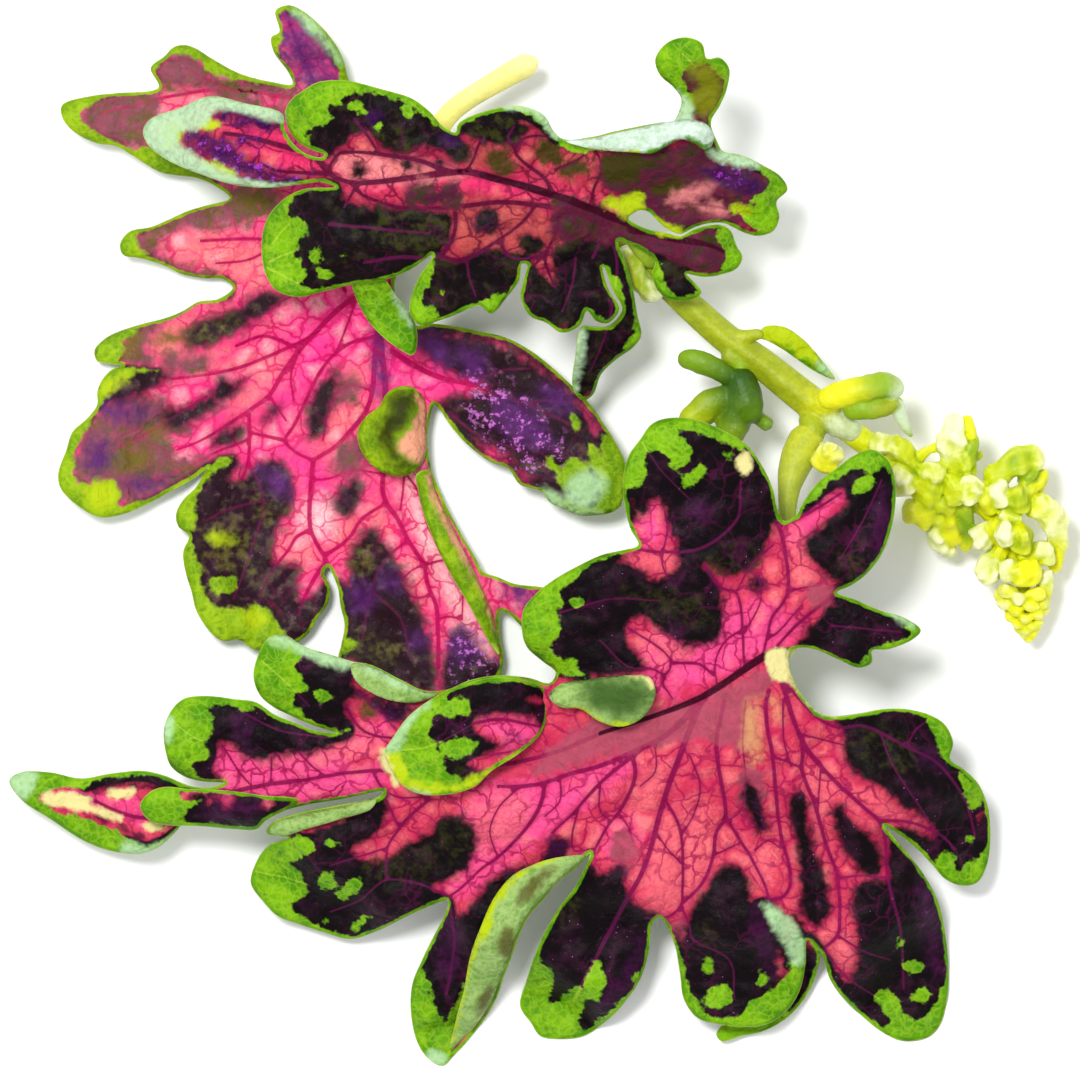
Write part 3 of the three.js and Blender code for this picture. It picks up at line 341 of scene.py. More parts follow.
TOP_MARKS = {
    "blade dark": [[330, 108, 342, 106, 350, 98, 385, 99, 415, 110, 435, 130, 452, 135, 470, 152, 466, 162,
        455, 163, 440, 152, 425, 148, 390, 152, 368, 133, 350, 140, 345, 148, 318, 152, 310, 142, 310, 130,
        330, 126, 336, 118], [300, 195, 315, 188, 335, 187, 352, 203, 440, 212, 450, 215, 451, 235, 446,
        248, 435, 255, 420, 256, 390, 274, 330, 286, 300, 288, 310, 270, 297, 255, 308, 232, 308, 222, 300,
        216, 292, 220, 290, 212], [436, 262, 455, 262, 495, 250, 525, 262, 512, 288, 500, 295, 440, 312,
        425, 303, 422, 292], [535, 270, 556, 285, 552, 258, 560, 248, 590, 240, 618, 256, 630, 295, 630,
        330, 622, 345, 600, 362, 586, 385, 578, 388, 576, 375, 584, 335, 582, 318, 562, 323, 530, 305, 526,
        295, 528, 280], [478, 213, 492, 210, 499, 222, 492, 233, 480, 232, 473, 222], [520, 240, 533, 236,
        545, 245, 540, 254, 526, 255], [660, 258, 670, 258, 698, 292, 690, 298, 675, 297, 665, 291, 658,
        278], [355, 168, 361, 165, 366, 170, 362, 176, 356, 177], [404, 165, 409, 162, 413, 167, 408, 172],
        [417, 163, 421, 161, 423, 166, 419, 168], [436, 164, 442, 162, 445, 166, 439, 169], [392, 158, 397,
        157, 398, 161, 393, 163], [462, 128, 475, 120, 500, 116, 520, 120, 530, 132, 518, 142, 495, 146,
        478, 142]],
    "blade dusk": [[412, 188, 428, 186, 434, 196, 424, 204, 412, 200], [444, 192, 455, 189, 460, 198, 450,
        204], [628, 222, 650, 226, 668, 235, 704, 227, 720, 232, 726, 250, 718, 266, 700, 271, 682, 270,
        632, 238], [560, 205, 625, 226, 640, 240, 620, 250, 600, 250, 562, 240, 553, 225], [640, 215, 655,
        200, 672, 193, 735, 208, 748, 216, 735, 224, 698, 214, 678, 232, 664, 222], [690, 167, 705, 161,
        752, 172, 768, 186, 768, 196, 752, 198, 722, 180], [684, 72, 698, 66, 722, 80, 720, 100, 703, 124,
        697, 118, 690, 92, 683, 86], [637, 162, 655, 154, 680, 150, 700, 152, 705, 160, 645, 176], [600,
        166, 640, 152, 700, 152, 742, 160, 772, 186, 764, 198, 738, 206, 700, 204, 668, 212, 618, 190]],
    "blade olive": [[490, 151, 507, 154, 515, 168, 505, 177, 493, 174, 487, 162], [535, 144, 546, 138, 564,
        158, 556, 167, 543, 163, 536, 155], [562, 166, 580, 162, 586, 172, 574, 180, 561, 177], [603, 160,
        625, 154, 640, 158, 642, 172, 631, 184, 612, 182, 602, 173], [470, 130, 485, 122, 505, 120, 518,
        130, 516, 144, 505, 149, 495, 143, 480, 141], [704, 78, 715, 75, 720, 82, 719, 99, 711, 112, 703,
        107, 700, 93], [378, 128, 398, 128, 415, 135, 410, 145, 392, 146], [452, 148, 466, 152, 463, 161,
        452, 158], [385, 217, 420, 216, 443, 225, 440, 245, 412, 252, 388, 245, 372, 232], [650, 186, 668,
        180, 685, 184, 680, 192, 660, 196]],
    "blade violet": [[176, 135, 205, 130, 222, 137, 262, 141, 262, 147, 238, 148, 270, 170, 310, 183, 290,
        185, 235, 174, 205, 158, 198, 148, 186, 144], [212, 116, 228, 111, 285, 124, 287, 130, 250, 129],
        [368, 116, 378, 114, 381, 121, 372, 124], [440, 138, 455, 138, 458, 145, 444, 145], [722, 174, 735,
        170, 742, 176, 735, 182, 726, 180], [704, 169, 726, 168, 748, 176, 764, 188, 758, 196, 736, 192,
        714, 184]],
    "blade hot": [[330, 160, 345, 156, 400, 160, 440, 172, 500, 178, 560, 190, 600, 205, 500, 200, 430, 188,
        345, 190], [218, 126, 292, 134, 330, 168, 290, 170, 225, 140]],
    "blade peach": [[480, 140, 510, 150, 470, 170, 462, 160], [450, 200, 540, 210, 560, 235, 540, 262, 460,
        256, 445, 235], [560, 150, 598, 142, 602, 165, 575, 182, 556, 170]],
    "blade green": [[286, 112, 293, 100, 318, 84, 345, 82, 412, 100, 430, 113, 438, 126, 428, 121, 415, 109,
        385, 98, 350, 96, 342, 104, 330, 106, 328, 113, 335, 118, 330, 125, 316, 125, 310, 130, 309, 142,
        318, 154, 301, 144, 290, 131], [350, 103, 360, 105, 368, 112, 361, 117, 352, 110], [376, 126, 384,
        122, 388, 127, 381, 131], [402, 107, 412, 112, 414, 119, 405, 116], [260, 242, 266, 218, 282, 200,
        305, 188, 290, 205, 289, 214, 292, 220, 300, 216, 308, 224, 307, 234, 300, 243, 297, 254, 306, 272,
        302, 284, 325, 288, 385, 278, 410, 268, 385, 284, 350, 288, 298, 300, 274, 293, 263, 272], [313,
        252, 320, 247, 325, 255, 322, 262, 315, 262, 310, 258], [318, 270, 325, 267, 332, 270, 329, 277,
        321, 277], [340, 254, 345, 252, 347, 256, 342, 257], [440, 291, 445, 290, 446, 296, 441, 296], [408,
        313, 410, 296, 418, 276, 430, 260, 434, 268, 430, 285, 424, 290, 424, 303, 440, 315, 420, 328],
        [480, 302, 490, 297, 502, 295, 508, 303, 491, 316, 482, 309], [586, 305, 594, 314, 608, 318, 618,
        308, 614, 292, 604, 276, 612, 276, 622, 292, 624, 310, 608, 326, 592, 322], [632, 280, 642, 300,
        644, 340, 634, 350, 624, 348, 634, 330, 636, 305], [755, 166, 768, 182, 764, 192, 748, 198, 756,
        206, 730, 208, 742, 220, 755, 228, 760, 240, 790, 236, 792, 186, 775, 170], [722, 226, 716, 236,
        726, 258, 720, 268, 728, 276, 746, 262, 740, 236, 732, 224], [654, 76, 652, 58, 664, 42, 684, 38,
        703, 44, 706, 60, 700, 68, 686, 70, 680, 80, 690, 92, 694, 108, 686, 118, 680, 100, 672, 88], [716,
        58, 730, 68, 730, 90, 720, 112, 712, 118, 720, 100, 722, 82, 706, 66], [652, 262, 660, 262, 664,
        280, 676, 296, 700, 294, 704, 300, 668, 302, 650, 286], [455, 128, 484, 115, 505, 112, 525, 115,
        541, 124, 562, 149, 580, 153, 625, 148, 650, 140, 650, 122, 600, 125, 560, 122, 545, 103, 520, 98,
        480, 102, 450, 116]],
    "blade mint": [[140, 130, 150, 117, 210, 95, 285, 113, 286, 123, 224, 110, 212, 116, 205, 128, 177, 134,
        182, 144, 208, 162, 248, 180, 300, 186, 270, 192, 235, 189, 205, 180, 166, 163, 145, 146], [668,
        126, 680, 104, 676, 92, 684, 96, 692, 110, 692, 126], [575, 392, 573, 360, 579, 328, 585, 332],
        [706, 150, 750, 158, 762, 166, 748, 168, 710, 158], [500, 106, 520, 104, 542, 112, 556, 126, 560,
        140, 552, 138, 541, 122, 525, 112, 505, 111]],
    "blade lime": [[162, 128, 175, 122, 186, 122, 184, 134, 178, 146, 166, 150, 160, 140], [198, 122, 213,
        120, 221, 126, 212, 131, 201, 130], [204, 160, 238, 176, 226, 180, 206, 168], [610, 200, 618, 198,
        619, 208, 612, 211], [624, 198, 640, 193, 645, 200, 634, 210, 625, 210], [727, 206, 742, 204, 750,
        212, 738, 216], [652, 224, 668, 228, 680, 236, 660, 236], [605, 198, 617, 196, 618, 210, 606, 209],
        [621, 196, 640, 194, 643, 210, 624, 218], [650, 217, 680, 231, 680, 237, 650, 223]],
    "rolled_margin under": True,
    "rolled_margin dark": [[664, 147, 680, 143, 706, 148, 676, 151]],
    "rolled_margin green": [[640, 154, 660, 148, 676, 140, 696, 141, 708, 148, 714, 140, 712, 156, 690, 154,
        640, 160]],
    "rolled_margin lime": [[570, 150, 620, 154, 640, 152, 640, 158, 600, 158, 572, 154]],
    "hanging_tooth green": True,
    "hanging_tooth mint": [[392, 284, 412, 316, 412, 330, 394, 300]],
    "blade spark": [[180, 136, 222, 136, 262, 142, 262, 158, 310, 183, 250, 180, 205, 158], [718, 172, 738,
        173, 742, 183, 724, 183]],
    "blade sand": [[668, 198, 684, 190, 718, 183, 680, 206], [700, 208, 714, 205, 728, 213, 714, 216], [334,
        158, 345, 154, 400, 158, 470, 175, 440, 180, 345, 181]],
    "hanging_tooth olive": [[373, 284, 384, 284, 402, 308, 396, 312, 384, 302]],
    "blade sage": [[688, 72, 700, 66, 714, 70, 721, 84, 716, 106, 704, 118, 692, 112, 692, 96, 697, 86]],
}

LEFT_MARKS = {
    "blade dark": [[185, 342, 190, 325, 240, 305, 250, 295, 262, 290, 285, 296, 275, 306, 215, 342, 200,
        348], [118, 380, 130, 374, 170, 376, 112, 404, 105, 395], [205, 395, 222, 375, 230, 380, 245, 378,
        218, 405, 175, 430, 160, 420, 165, 408, 185, 405], [210, 440, 220, 430, 235, 425, 245, 428, 240,
        440, 225, 446, 212, 446], [258, 422, 280, 402, 275, 415, 264, 424], [305, 410, 322, 380, 333, 372,
        336, 380, 330, 410, 325, 425, 315, 437, 309, 438], [332, 500, 345, 482, 355, 478, 361, 488, 360,
        500, 345, 517, 336, 510], [205, 480, 225, 461, 235, 464, 228, 480, 240, 478, 272, 457, 290, 475,
        291, 505, 278, 530, 272, 558, 282, 565, 298, 563, 300, 600, 329, 588, 326, 602, 295, 639, 285, 637,
        272, 608, 258, 605, 245, 612, 230, 605, 215, 608, 208, 598, 195, 565, 190, 530, 196, 520, 193, 508],
        [350, 575, 348, 560, 360, 535, 372, 529, 415, 600, 435, 665, 432, 690, 370, 674, 352, 662, 345, 640,
        350, 625, 342, 610, 342, 590], [420, 330, 455, 334, 505, 347, 545, 371, 565, 391, 585, 412, 600,
        447, 592, 442, 590, 455, 598, 495, 590, 505, 560, 496, 530, 479, 505, 455, 465, 434, 445, 404, 448,
        396, 485, 390, 475, 380, 455, 374, 424, 350], [447, 652, 450, 635, 460, 627, 470, 634, 475, 645,
        496, 668, 494, 684, 470, 694, 442, 690, 440, 668]],
    "blade dusk": [[80, 116, 90, 104, 105, 97, 152, 91, 156, 100, 152, 115, 157, 128, 152, 142, 130, 143,
        105, 137, 88, 127], [155, 72, 165, 60, 180, 54, 191, 56, 218, 78, 296, 86, 288, 93, 265, 91, 245,
        97, 284, 114, 262, 112, 238, 104, 205, 86, 190, 82, 160, 82], [186, 172, 232, 190, 270, 188, 272,
        210, 262, 204, 240, 205], [134, 242, 142, 230, 228, 196, 245, 200, 258, 212, 205, 223, 188, 222,
        170, 228, 157, 238, 154, 250, 162, 259, 178, 268, 210, 274, 188, 272, 165, 263, 145, 253], [130,
        340, 140, 328, 160, 322, 140, 348, 150, 360, 130, 362], [73, 470, 80, 445, 100, 410, 120, 398, 150,
        400, 165, 410, 180, 428, 160, 436, 165, 450, 185, 462, 208, 462, 196, 474, 140, 500, 112, 500, 92,
        484, 78, 482], [333, 466, 350, 442, 360, 440, 358, 466, 345, 469], [336, 380, 350, 378, 352, 395,
        338, 400], [162, 360, 204, 359, 204, 365, 162, 366]],
    "blade olive": [[95, 460, 110, 452, 135, 448, 150, 455, 140, 468, 115, 472], [140, 425, 160, 418, 165,
        430, 150, 438], [100, 356, 120, 338, 140, 330, 136, 345, 126, 360], [232, 196, 262, 192, 268, 205,
        245, 210], [202, 530, 218, 524, 238, 530, 246, 545, 240, 562, 262, 560, 250, 572, 222, 574, 206,
        566, 200, 548], [150, 340, 205, 322, 240, 312, 205, 340], [352, 552, 366, 545, 376, 560, 366, 575,
        352, 570], [352, 640, 400, 650, 380, 665, 356, 656], [255, 500, 275, 495, 285, 508, 270, 522, 256,
        515], [386, 395, 400, 400, 400, 420, 388, 410]],
    "blade violet": [[276, 16, 285, 10, 295, 13, 318, 31, 338, 64, 343, 84, 300, 90, 297, 78, 274, 45, 281,
        29], [375, 318, 382, 322, 386, 345, 386, 392, 380, 392, 372, 335], [418, 332, 440, 336, 450, 350,
        445, 366, 420, 345], [456, 348, 472, 350, 486, 362, 482, 376, 466, 370], [495, 400, 515, 398, 548,
        428, 552, 445, 535, 448, 498, 425], [540, 388, 562, 392, 572, 408, 560, 412, 545, 402], [100, 405,
        130, 405, 150, 412, 140, 420, 110, 420], [85, 450, 105, 440, 112, 462, 90, 474], [120, 482, 150,
        478, 168, 480, 140, 494], [262, 470, 285, 480, 286, 496, 270, 490], [350, 585, 366, 584, 372, 605,
        355, 612], [382, 572, 396, 575, 398, 588, 385, 588], [450, 640, 462, 630, 474, 640, 476, 655, 460,
        662, 450, 655], [412, 636, 424, 636, 424, 646, 414, 646], [170, 182, 196, 176, 212, 186, 190, 184],
        [498, 578, 537, 590, 536, 608, 522, 606, 508, 596]],
    "blade hot": [[350, 285, 400, 290, 430, 360, 480, 384, 400, 400, 370, 400, 345, 380, 270, 420, 262, 395,
        240, 400, 200, 400, 230, 372, 270, 345, 300, 310], [170, 440, 200, 440, 320, 460, 330, 500, 300,
        550, 330, 600, 290, 600, 300, 530, 300, 480, 240, 455, 180, 462]],
    "blade peach": [[165, 235, 195, 226, 230, 235, 262, 250, 265, 290, 235, 284, 205, 268, 178, 262, 162,
        250], [150, 330, 225, 305, 200, 318, 186, 332, 182, 350, 205, 352, 230, 348, 205, 358, 160, 358,
        148, 345], [210, 370, 250, 350, 290, 360, 270, 390, 245, 410, 230, 400, 248, 378], [325, 415, 345,
        400, 362, 395, 370, 412, 350, 435, 320, 455], [360, 395, 372, 360, 340, 370, 345, 400], [335, 525,
        350, 515, 380, 505, 390, 540, 372, 528, 350, 545, 332, 550], [160, 92, 200, 88, 215, 96, 175, 104,
        158, 112], [400, 560, 418, 575, 425, 600, 420, 612, 404, 590], [275, 545, 300, 535, 318, 548, 300,
        580], [200, 60, 300, 84, 296, 100, 270, 90]],
    "blade green": [[57, 116, 61, 102, 90, 93, 108, 92, 92, 102, 80, 115, 90, 128, 108, 138, 130, 145, 155,
        148, 190, 168, 215, 186, 160, 174, 115, 149, 96, 146, 72, 134], [148, 66, 173, 44, 184, 42, 195, 45,
        240, 70, 275, 80, 240, 79, 214, 74, 188, 54, 170, 56, 156, 68, 156, 80], [276, 12, 284, 3, 294, 3,
        318, 20, 342, 50, 352, 84, 342, 84, 334, 60, 318, 34, 290, 10], [270, 30, 280, 30, 276, 52, 268,
        42], [117, 243, 128, 229, 140, 228, 136, 242, 148, 256, 138, 259, 120, 256], [213, 292, 222, 279,
        232, 284, 228, 294], [90, 350, 103, 335, 125, 326, 140, 326, 128, 336, 112, 364, 94, 363], [92, 392,
        104, 374, 120, 368, 155, 370, 128, 375, 112, 385, 78, 445, 72, 468, 76, 482, 90, 484, 100, 480, 114,
        484, 118, 498, 112, 504, 140, 502, 175, 486, 206, 468, 190, 483, 140, 510, 118, 518, 96, 520, 76,
        511, 56, 491, 53, 474, 70, 430], [204, 470, 218, 458, 232, 457, 210, 476, 194, 502, 196, 518, 190,
        530, 174, 528, 172, 512, 180, 496], [188, 536, 206, 598, 215, 608, 230, 606, 245, 612, 258, 606,
        270, 612, 286, 638, 298, 642, 272, 654, 252, 652, 238, 643, 222, 644, 208, 636, 192, 612, 180, 566,
        180, 548], [210, 580, 224, 576, 236, 580, 230, 592, 216, 594], [588, 440, 600, 452, 604, 436, 625,
        455, 628, 480, 623, 508, 612, 516, 580, 518, 555, 510, 545, 496, 565, 500, 580, 506, 593, 507, 599,
        498, 598, 480, 592, 465], [558, 480, 572, 458, 582, 460, 591, 475, 592, 488, 585, 495, 562, 486],
        [545, 452, 552, 456, 560, 472, 552, 470], [571, 414, 576, 418, 579, 430, 573, 426], [342, 640, 354,
        640, 352, 650, 342, 652]],
    "blade mint": [[292, 8, 300, 10, 318, 26, 340, 62], [545, 488, 580, 510, 600, 512, 584, 518, 560, 512,
        545, 500], [572, 478, 590, 470, 606, 478, 600, 498, 584, 508, 566, 498]],
    "blade lime": [[85, 490, 95, 482, 108, 481, 116, 492, 112, 504, 98, 510, 86, 504], [236, 540, 210, 534,
        205, 538, 210, 543], [244, 612, 262, 612, 268, 622, 254, 628, 244, 622], [112, 376, 128, 372, 108,
        392, 100, 396]],
    "ear green": True,
    "rolled_strip green": True,
    "rolled_strip olive": [[428, 480, 482, 580, 476, 582, 446, 535, 426, 492]],
    "blade spark": [[466, 378, 492, 378, 520, 396, 566, 452, 560, 470, 548, 462, 536, 476, 484, 432, 470,
        404], [448, 640, 462, 628, 478, 642, 492, 664, 490, 682, 470, 690, 452, 676]],
    "ear sage": [[388, 396, 400, 388, 416, 392, 417, 405, 412, 420, 398, 442, 400, 452, 420, 468, 400, 466,
        384, 452, 376, 430, 386, 410]],
    "blade sand": [[404, 470, 416, 474, 450, 570, 492, 652, 482, 690, 462, 660, 452, 610, 412, 520], [300,
        505, 330, 500, 336, 520, 318, 540, 300, 530]],
    "ear cream": [[416, 394, 428, 400, 434, 410, 420, 462, 398, 446, 412, 424, 418, 408]],
    "rolled_strip cream": [[430, 470, 436, 490, 491, 606, 497, 632, 476, 586, 438, 514, 426, 474]],
}

BOTTOM_MARKS = {
    "blade dark": [[676, 431, 690, 432, 722, 445, 740, 448, 765, 474, 772, 495, 766, 545, 740, 573, 725,
        573, 708, 562, 704, 566, 721, 592, 718, 636, 688, 645, 640, 617, 630, 619, 626, 635, 645, 668, 632,
        673, 580, 674, 570, 668, 577, 660, 574, 655, 558, 658, 552, 650, 560, 632, 560, 622, 552, 612, 560,
        596, 603, 560, 640, 570, 652, 577, 665, 577, 673, 570, 678, 556, 662, 505, 657, 498, 640, 516, 634,
        512, 631, 495, 645, 478, 647, 451, 667, 456, 672, 468, 684, 466, 690, 455, 685, 440], [805, 543,
        842, 508, 848, 496, 843, 490, 830, 490, 808, 504, 804, 502, 830, 482, 852, 472, 862, 470, 870, 475,
        880, 470, 888, 480, 887, 530, 880, 552, 866, 572, 850, 583, 822, 572, 814, 565], [748, 580, 756,
        577, 764, 582, 760, 590, 750, 588], [820, 615, 832, 603, 845, 600, 910, 632, 866, 646, 872, 655,
        862, 660, 803, 638], [840, 724, 852, 716, 890, 710, 910, 713, 925, 720, 938, 740, 946, 763, 966,
        784, 982, 820, 983, 850, 966, 862, 961, 872, 956, 868, 955, 855, 945, 852, 938, 859, 928, 857, 896,
        835, 905, 830, 932, 836, 934, 830, 925, 818, 900, 805, 878, 785, 862, 778, 850, 765, 842, 752, 844,
        740], [833, 808, 838, 803, 855, 825, 868, 832, 878, 845, 880, 874, 862, 874, 856, 866, 838, 835],
        [888, 862, 892, 846, 900, 849, 924, 880, 941, 925, 945, 975, 940, 992, 926, 1015, 915, 1020, 905,
        1015, 893, 993, 882, 992, 875, 998, 890, 1022, 885, 1028, 850, 1002, 832, 975, 828, 958, 836, 972,
        848, 981, 858, 950, 853, 895, 858, 884, 868, 880, 882, 882, 890, 876], [790, 795, 797, 793, 805,
        798, 811, 835, 831, 905, 826, 918, 815, 926, 805, 918, 800, 905, 800, 870], [743, 783, 750, 778,
        756, 790, 766, 832, 758, 832, 750, 820], [735, 866, 742, 870, 750, 885, 753, 900, 762, 905, 775,
        940, 778, 960, 775, 978, 766, 990, 748, 1008, 735, 1016, 722, 1018, 700, 1005, 690, 975, 684, 935,
        703, 892, 722, 868], [806, 945, 815, 938, 820, 950, 812, 970, 800, 985], [590, 872, 604, 874, 622,
        862, 626, 885, 634, 902, 648, 912, 650, 930, 646, 955, 627, 992, 582, 1031, 577, 1024, 588, 1000,
        582, 985, 575, 985, 552, 1003, 552, 975, 545, 966, 543, 950], [452, 906, 460, 918, 490, 882, 505,
        872, 540, 860, 548, 845, 558, 837, 566, 842, 566, 856, 560, 862, 528, 876, 500, 904, 444, 1018, 433,
        1000, 428, 978, 420, 972], [303, 838, 340, 822, 378, 799, 386, 802, 386, 812, 380, 830, 352, 850,
        360, 858, 378, 862, 395, 855, 405, 845, 432, 830, 438, 820, 450, 815, 465, 819, 475, 828, 477, 842,
        472, 858, 462, 872, 432, 888, 445, 900, 432, 908, 410, 912, 350, 935, 335, 933, 290, 903, 305, 893,
        298, 872, 288, 866, 315, 848], [208, 710, 222, 707, 248, 712, 256, 702, 268, 700, 314, 725, 352,
        730, 345, 739, 312, 753, 295, 752, 262, 759, 245, 756, 238, 748, 222, 742, 210, 779, 203, 780, 192,
        764, 208, 758, 205, 738, 212, 733], [296, 660, 325, 668, 352, 668, 354, 680, 372, 696, 412, 706,
        405, 716, 396, 720, 358, 694, 345, 708, 352, 720, 350, 729, 315, 725, 292, 705, 296, 695, 305, 690,
        300, 680, 302, 670], [88, 788, 100, 781, 145, 775, 185, 783, 170, 786, 130, 782]],
    "blade maroon": [[88, 786, 130, 784, 180, 788, 176, 792, 125, 787, 92, 794], [90, 814, 98, 812, 110,
        820, 105, 826, 94, 820], [118, 824, 128, 824, 130, 832, 122, 832], [132, 832, 142, 832, 145, 838,
        136, 840], [152, 838, 160, 838, 158, 843]],
    "blade dusk": [[808, 592, 822, 588, 836, 592, 830, 602, 815, 604], [745, 770, 756, 775, 758, 800, 748,
        800, 742, 785], [600, 720, 700, 706, 768, 672, 750, 700, 745, 740, 700, 735, 600, 752, 540, 768],
        [618, 835, 628, 835, 632, 850, 626, 866, 616, 856], [596, 690, 590, 680, 600, 680], [680, 925, 690,
        930, 688, 960, 694, 990, 686, 985, 680, 955], [395, 700, 410, 704, 412, 716, 398, 712]],
    "blade olive": [[850, 735, 875, 728, 900, 735, 915, 755, 905, 772, 880, 768, 858, 760], [560, 918, 570,
        903, 578, 900, 574, 914, 566, 923], [362, 700, 378, 706, 374, 718, 362, 712], [440, 825, 466, 822,
        470, 840, 455, 860, 440, 850], [360, 870, 440, 850, 430, 875, 380, 884], [700, 925, 712, 925, 715,
        945, 703, 945], [620, 590, 700, 600, 712, 625, 660, 612], [700, 560, 750, 545, 760, 560, 730, 572],
        [835, 560, 865, 545, 872, 560, 848, 576]],
    "blade violet": [[915, 752, 930, 752, 948, 764, 938, 768, 922, 764], [752, 905, 764, 912, 772, 935, 776,
        958, 768, 975, 752, 925], [548, 845, 558, 838, 566, 843, 564, 856, 550, 858], [600, 1000, 625, 965,
        640, 935, 646, 945, 630, 985, 605, 1008], [448, 920, 462, 940, 460, 965, 446, 990, 440, 960], [920,
        870, 938, 905, 944, 945, 940, 985, 918, 905], [238, 712, 252, 718, 250, 740, 236, 735], [375, 705,
        400, 710, 396, 720, 380, 712], [690, 500, 710, 505, 705, 520, 690, 516], [880, 485, 888, 500, 882,
        540, 868, 560]],
    "blade hot": [[650, 500, 662, 520, 660, 545, 640, 545, 638, 520], [800, 515, 840, 490, 830, 510, 790,
        545], [640, 650, 745, 600, 785, 610, 800, 630, 700, 682, 655, 690], [190, 786, 230, 768, 300, 772,
        385, 768, 385, 785, 300, 800, 240, 802], [480, 790, 560, 780, 640, 755, 540, 840, 450, 900, 450,
        880], [600, 850, 622, 812, 640, 835, 622, 860], [350, 750, 395, 735, 385, 715, 355, 735], [68, 795,
        80, 785, 120, 802, 135, 804, 150, 824, 140, 826, 110, 809], [205, 752, 260, 742, 330, 745, 350, 765,
        335, 784, 260, 784, 210, 776]],
    "blade peach": [[625, 562, 675, 552, 665, 580, 645, 572], [795, 530, 812, 560, 820, 580, 795, 590],
        [480, 800, 530, 800, 520, 830, 480, 850, 470, 830], [655, 830, 700, 800, 720, 850, 690, 900, 650,
        905, 640, 880], [640, 770, 670, 760, 660, 800, 630, 820], [730, 830, 770, 860, 765, 890, 740, 860],
        [800, 760, 850, 800, 870, 825, 832, 800, 830, 860], [852, 790, 900, 810, 900, 818, 872, 812], [830,
        925, 856, 935, 854, 970, 832, 955], [655, 630, 690, 650, 660, 665, 645, 650], [355, 850, 380, 845,
        400, 840, 380, 860], [228, 740, 300, 733, 345, 740, 380, 738, 380, 752, 240, 752]],
    "blade green": [[618, 490, 633, 490, 642, 480, 646, 470, 645, 455, 650, 450, 660, 452, 668, 460, 672,
        468, 682, 467, 690, 458, 690, 448, 676, 431, 690, 431, 740, 448, 748, 440, 722, 424, 690, 414, 660,
        413, 638, 430, 622, 455], [680, 488, 690, 485, 700, 478, 704, 471, 703, 465, 696, 465, 690, 474,
        682, 478], [722, 453, 740, 449, 734, 456, 724, 460], [521, 610, 533, 596, 575, 565, 600, 553, 618,
        548, 612, 556, 590, 567, 572, 581, 560, 594, 565, 604, 556, 612, 561, 625, 552, 645, 555, 655, 577,
        657, 576, 667, 585, 676, 552, 672, 535, 656, 522, 640], [570, 600, 577, 596, 584, 602, 577, 608,
        571, 606], [826, 486, 850, 471, 862, 469, 872, 475, 880, 469, 889, 472, 888, 458, 870, 446, 850,
        455, 810, 492, 800, 510], [852, 493, 856, 482, 862, 476, 872, 475, 875, 482, 859, 494], [902, 627,
        908, 632, 900, 640, 880, 644, 876, 648, 900, 648, 922, 640, 924, 625], [862, 660, 870, 654, 876,
        662, 862, 670], [915, 710, 937, 716, 951, 728, 957, 748, 952, 764, 944, 762, 936, 738, 925, 719],
        [960, 774, 974, 784, 984, 798, 978, 806, 972, 808, 966, 800], [936, 860, 942, 853, 950, 852, 955,
        858, 957, 869, 962, 873, 968, 862, 978, 858, 987, 845, 992, 866, 980, 886, 963, 890, 948, 884],
        [968, 836, 973, 834, 974, 840, 969, 841], [826, 972, 850, 1003, 886, 1029, 891, 1022, 875, 998, 883,
        991, 893, 993, 906, 1016, 916, 1021, 928, 1015, 942, 992, 946, 980, 953, 998, 946, 1028, 932, 1042,
        905, 1047, 883, 1038, 860, 1020, 841, 1001], [897, 934, 905, 947, 901, 949, 897, 941], [904, 963,
        911, 959, 922, 964, 920, 972, 911, 974, 905, 969], [914, 995, 921, 989, 929, 991, 930, 1000, 921,
        1005, 915, 1002], [705, 998, 712, 990, 722, 985, 730, 990, 732, 1000, 725, 1008, 712, 1010], [676,
        950, 689, 985, 696, 1000, 704, 1010, 716, 1018, 734, 1018, 746, 1010, 753, 1001, 765, 995, 786, 976,
        800, 935, 808, 960, 802, 992, 790, 1014, 768, 1029, 745, 1032, 716, 1029, 695, 1022, 681, 1004],
        [704, 962, 710, 958, 713, 968, 707, 972], [757, 973, 764, 970, 768, 980, 760, 986], [582, 985, 590,
        970, 600, 962, 604, 975, 604, 990, 598, 1000, 590, 1000, 583, 995], [516, 1008, 532, 955, 538, 945,
        545, 966, 552, 972, 552, 990, 549, 1004, 557, 1003, 578, 986, 586, 1000, 586, 1010, 577, 1025, 583,
        1033, 628, 995, 625, 1006, 606, 1026, 584, 1041, 560, 1045, 538, 1042], [632, 975, 637, 973, 637,
        980, 633, 981], [417, 965, 421, 974, 428, 979, 430, 992, 436, 1008, 444, 1021, 468, 983, 444, 1070,
        426, 1065, 413, 1047, 407, 1018, 408, 986], [290, 836, 306, 838, 316, 848, 288, 866, 300, 872, 305,
        895, 290, 905, 300, 914, 330, 933, 350, 938, 350, 944, 295, 929, 274, 920, 259, 905, 246, 884, 252,
        862, 264, 843], [320, 875, 333, 870, 338, 880, 333, 888, 325, 890, 320, 883], [335, 893, 362, 875,
        362, 885, 355, 893, 345, 898, 337, 898], [350, 929, 365, 916, 371, 918, 355, 931], [318, 920, 325,
        918, 330, 924, 324, 927], [322, 845, 330, 840, 338, 842, 328, 848], [160, 730, 168, 709, 182, 697,
        205, 693, 258, 700, 250, 710, 222, 706, 208, 709, 213, 722, 212, 733, 205, 738, 208, 758, 191, 764,
        204, 781, 202, 785, 184, 779, 169, 769], [250, 676, 256, 652, 267, 635, 285, 632, 298, 642, 303,
        655, 297, 662, 301, 675, 310, 688, 300, 692, 293, 698, 298, 708, 310, 718, 330, 729, 350, 730, 335,
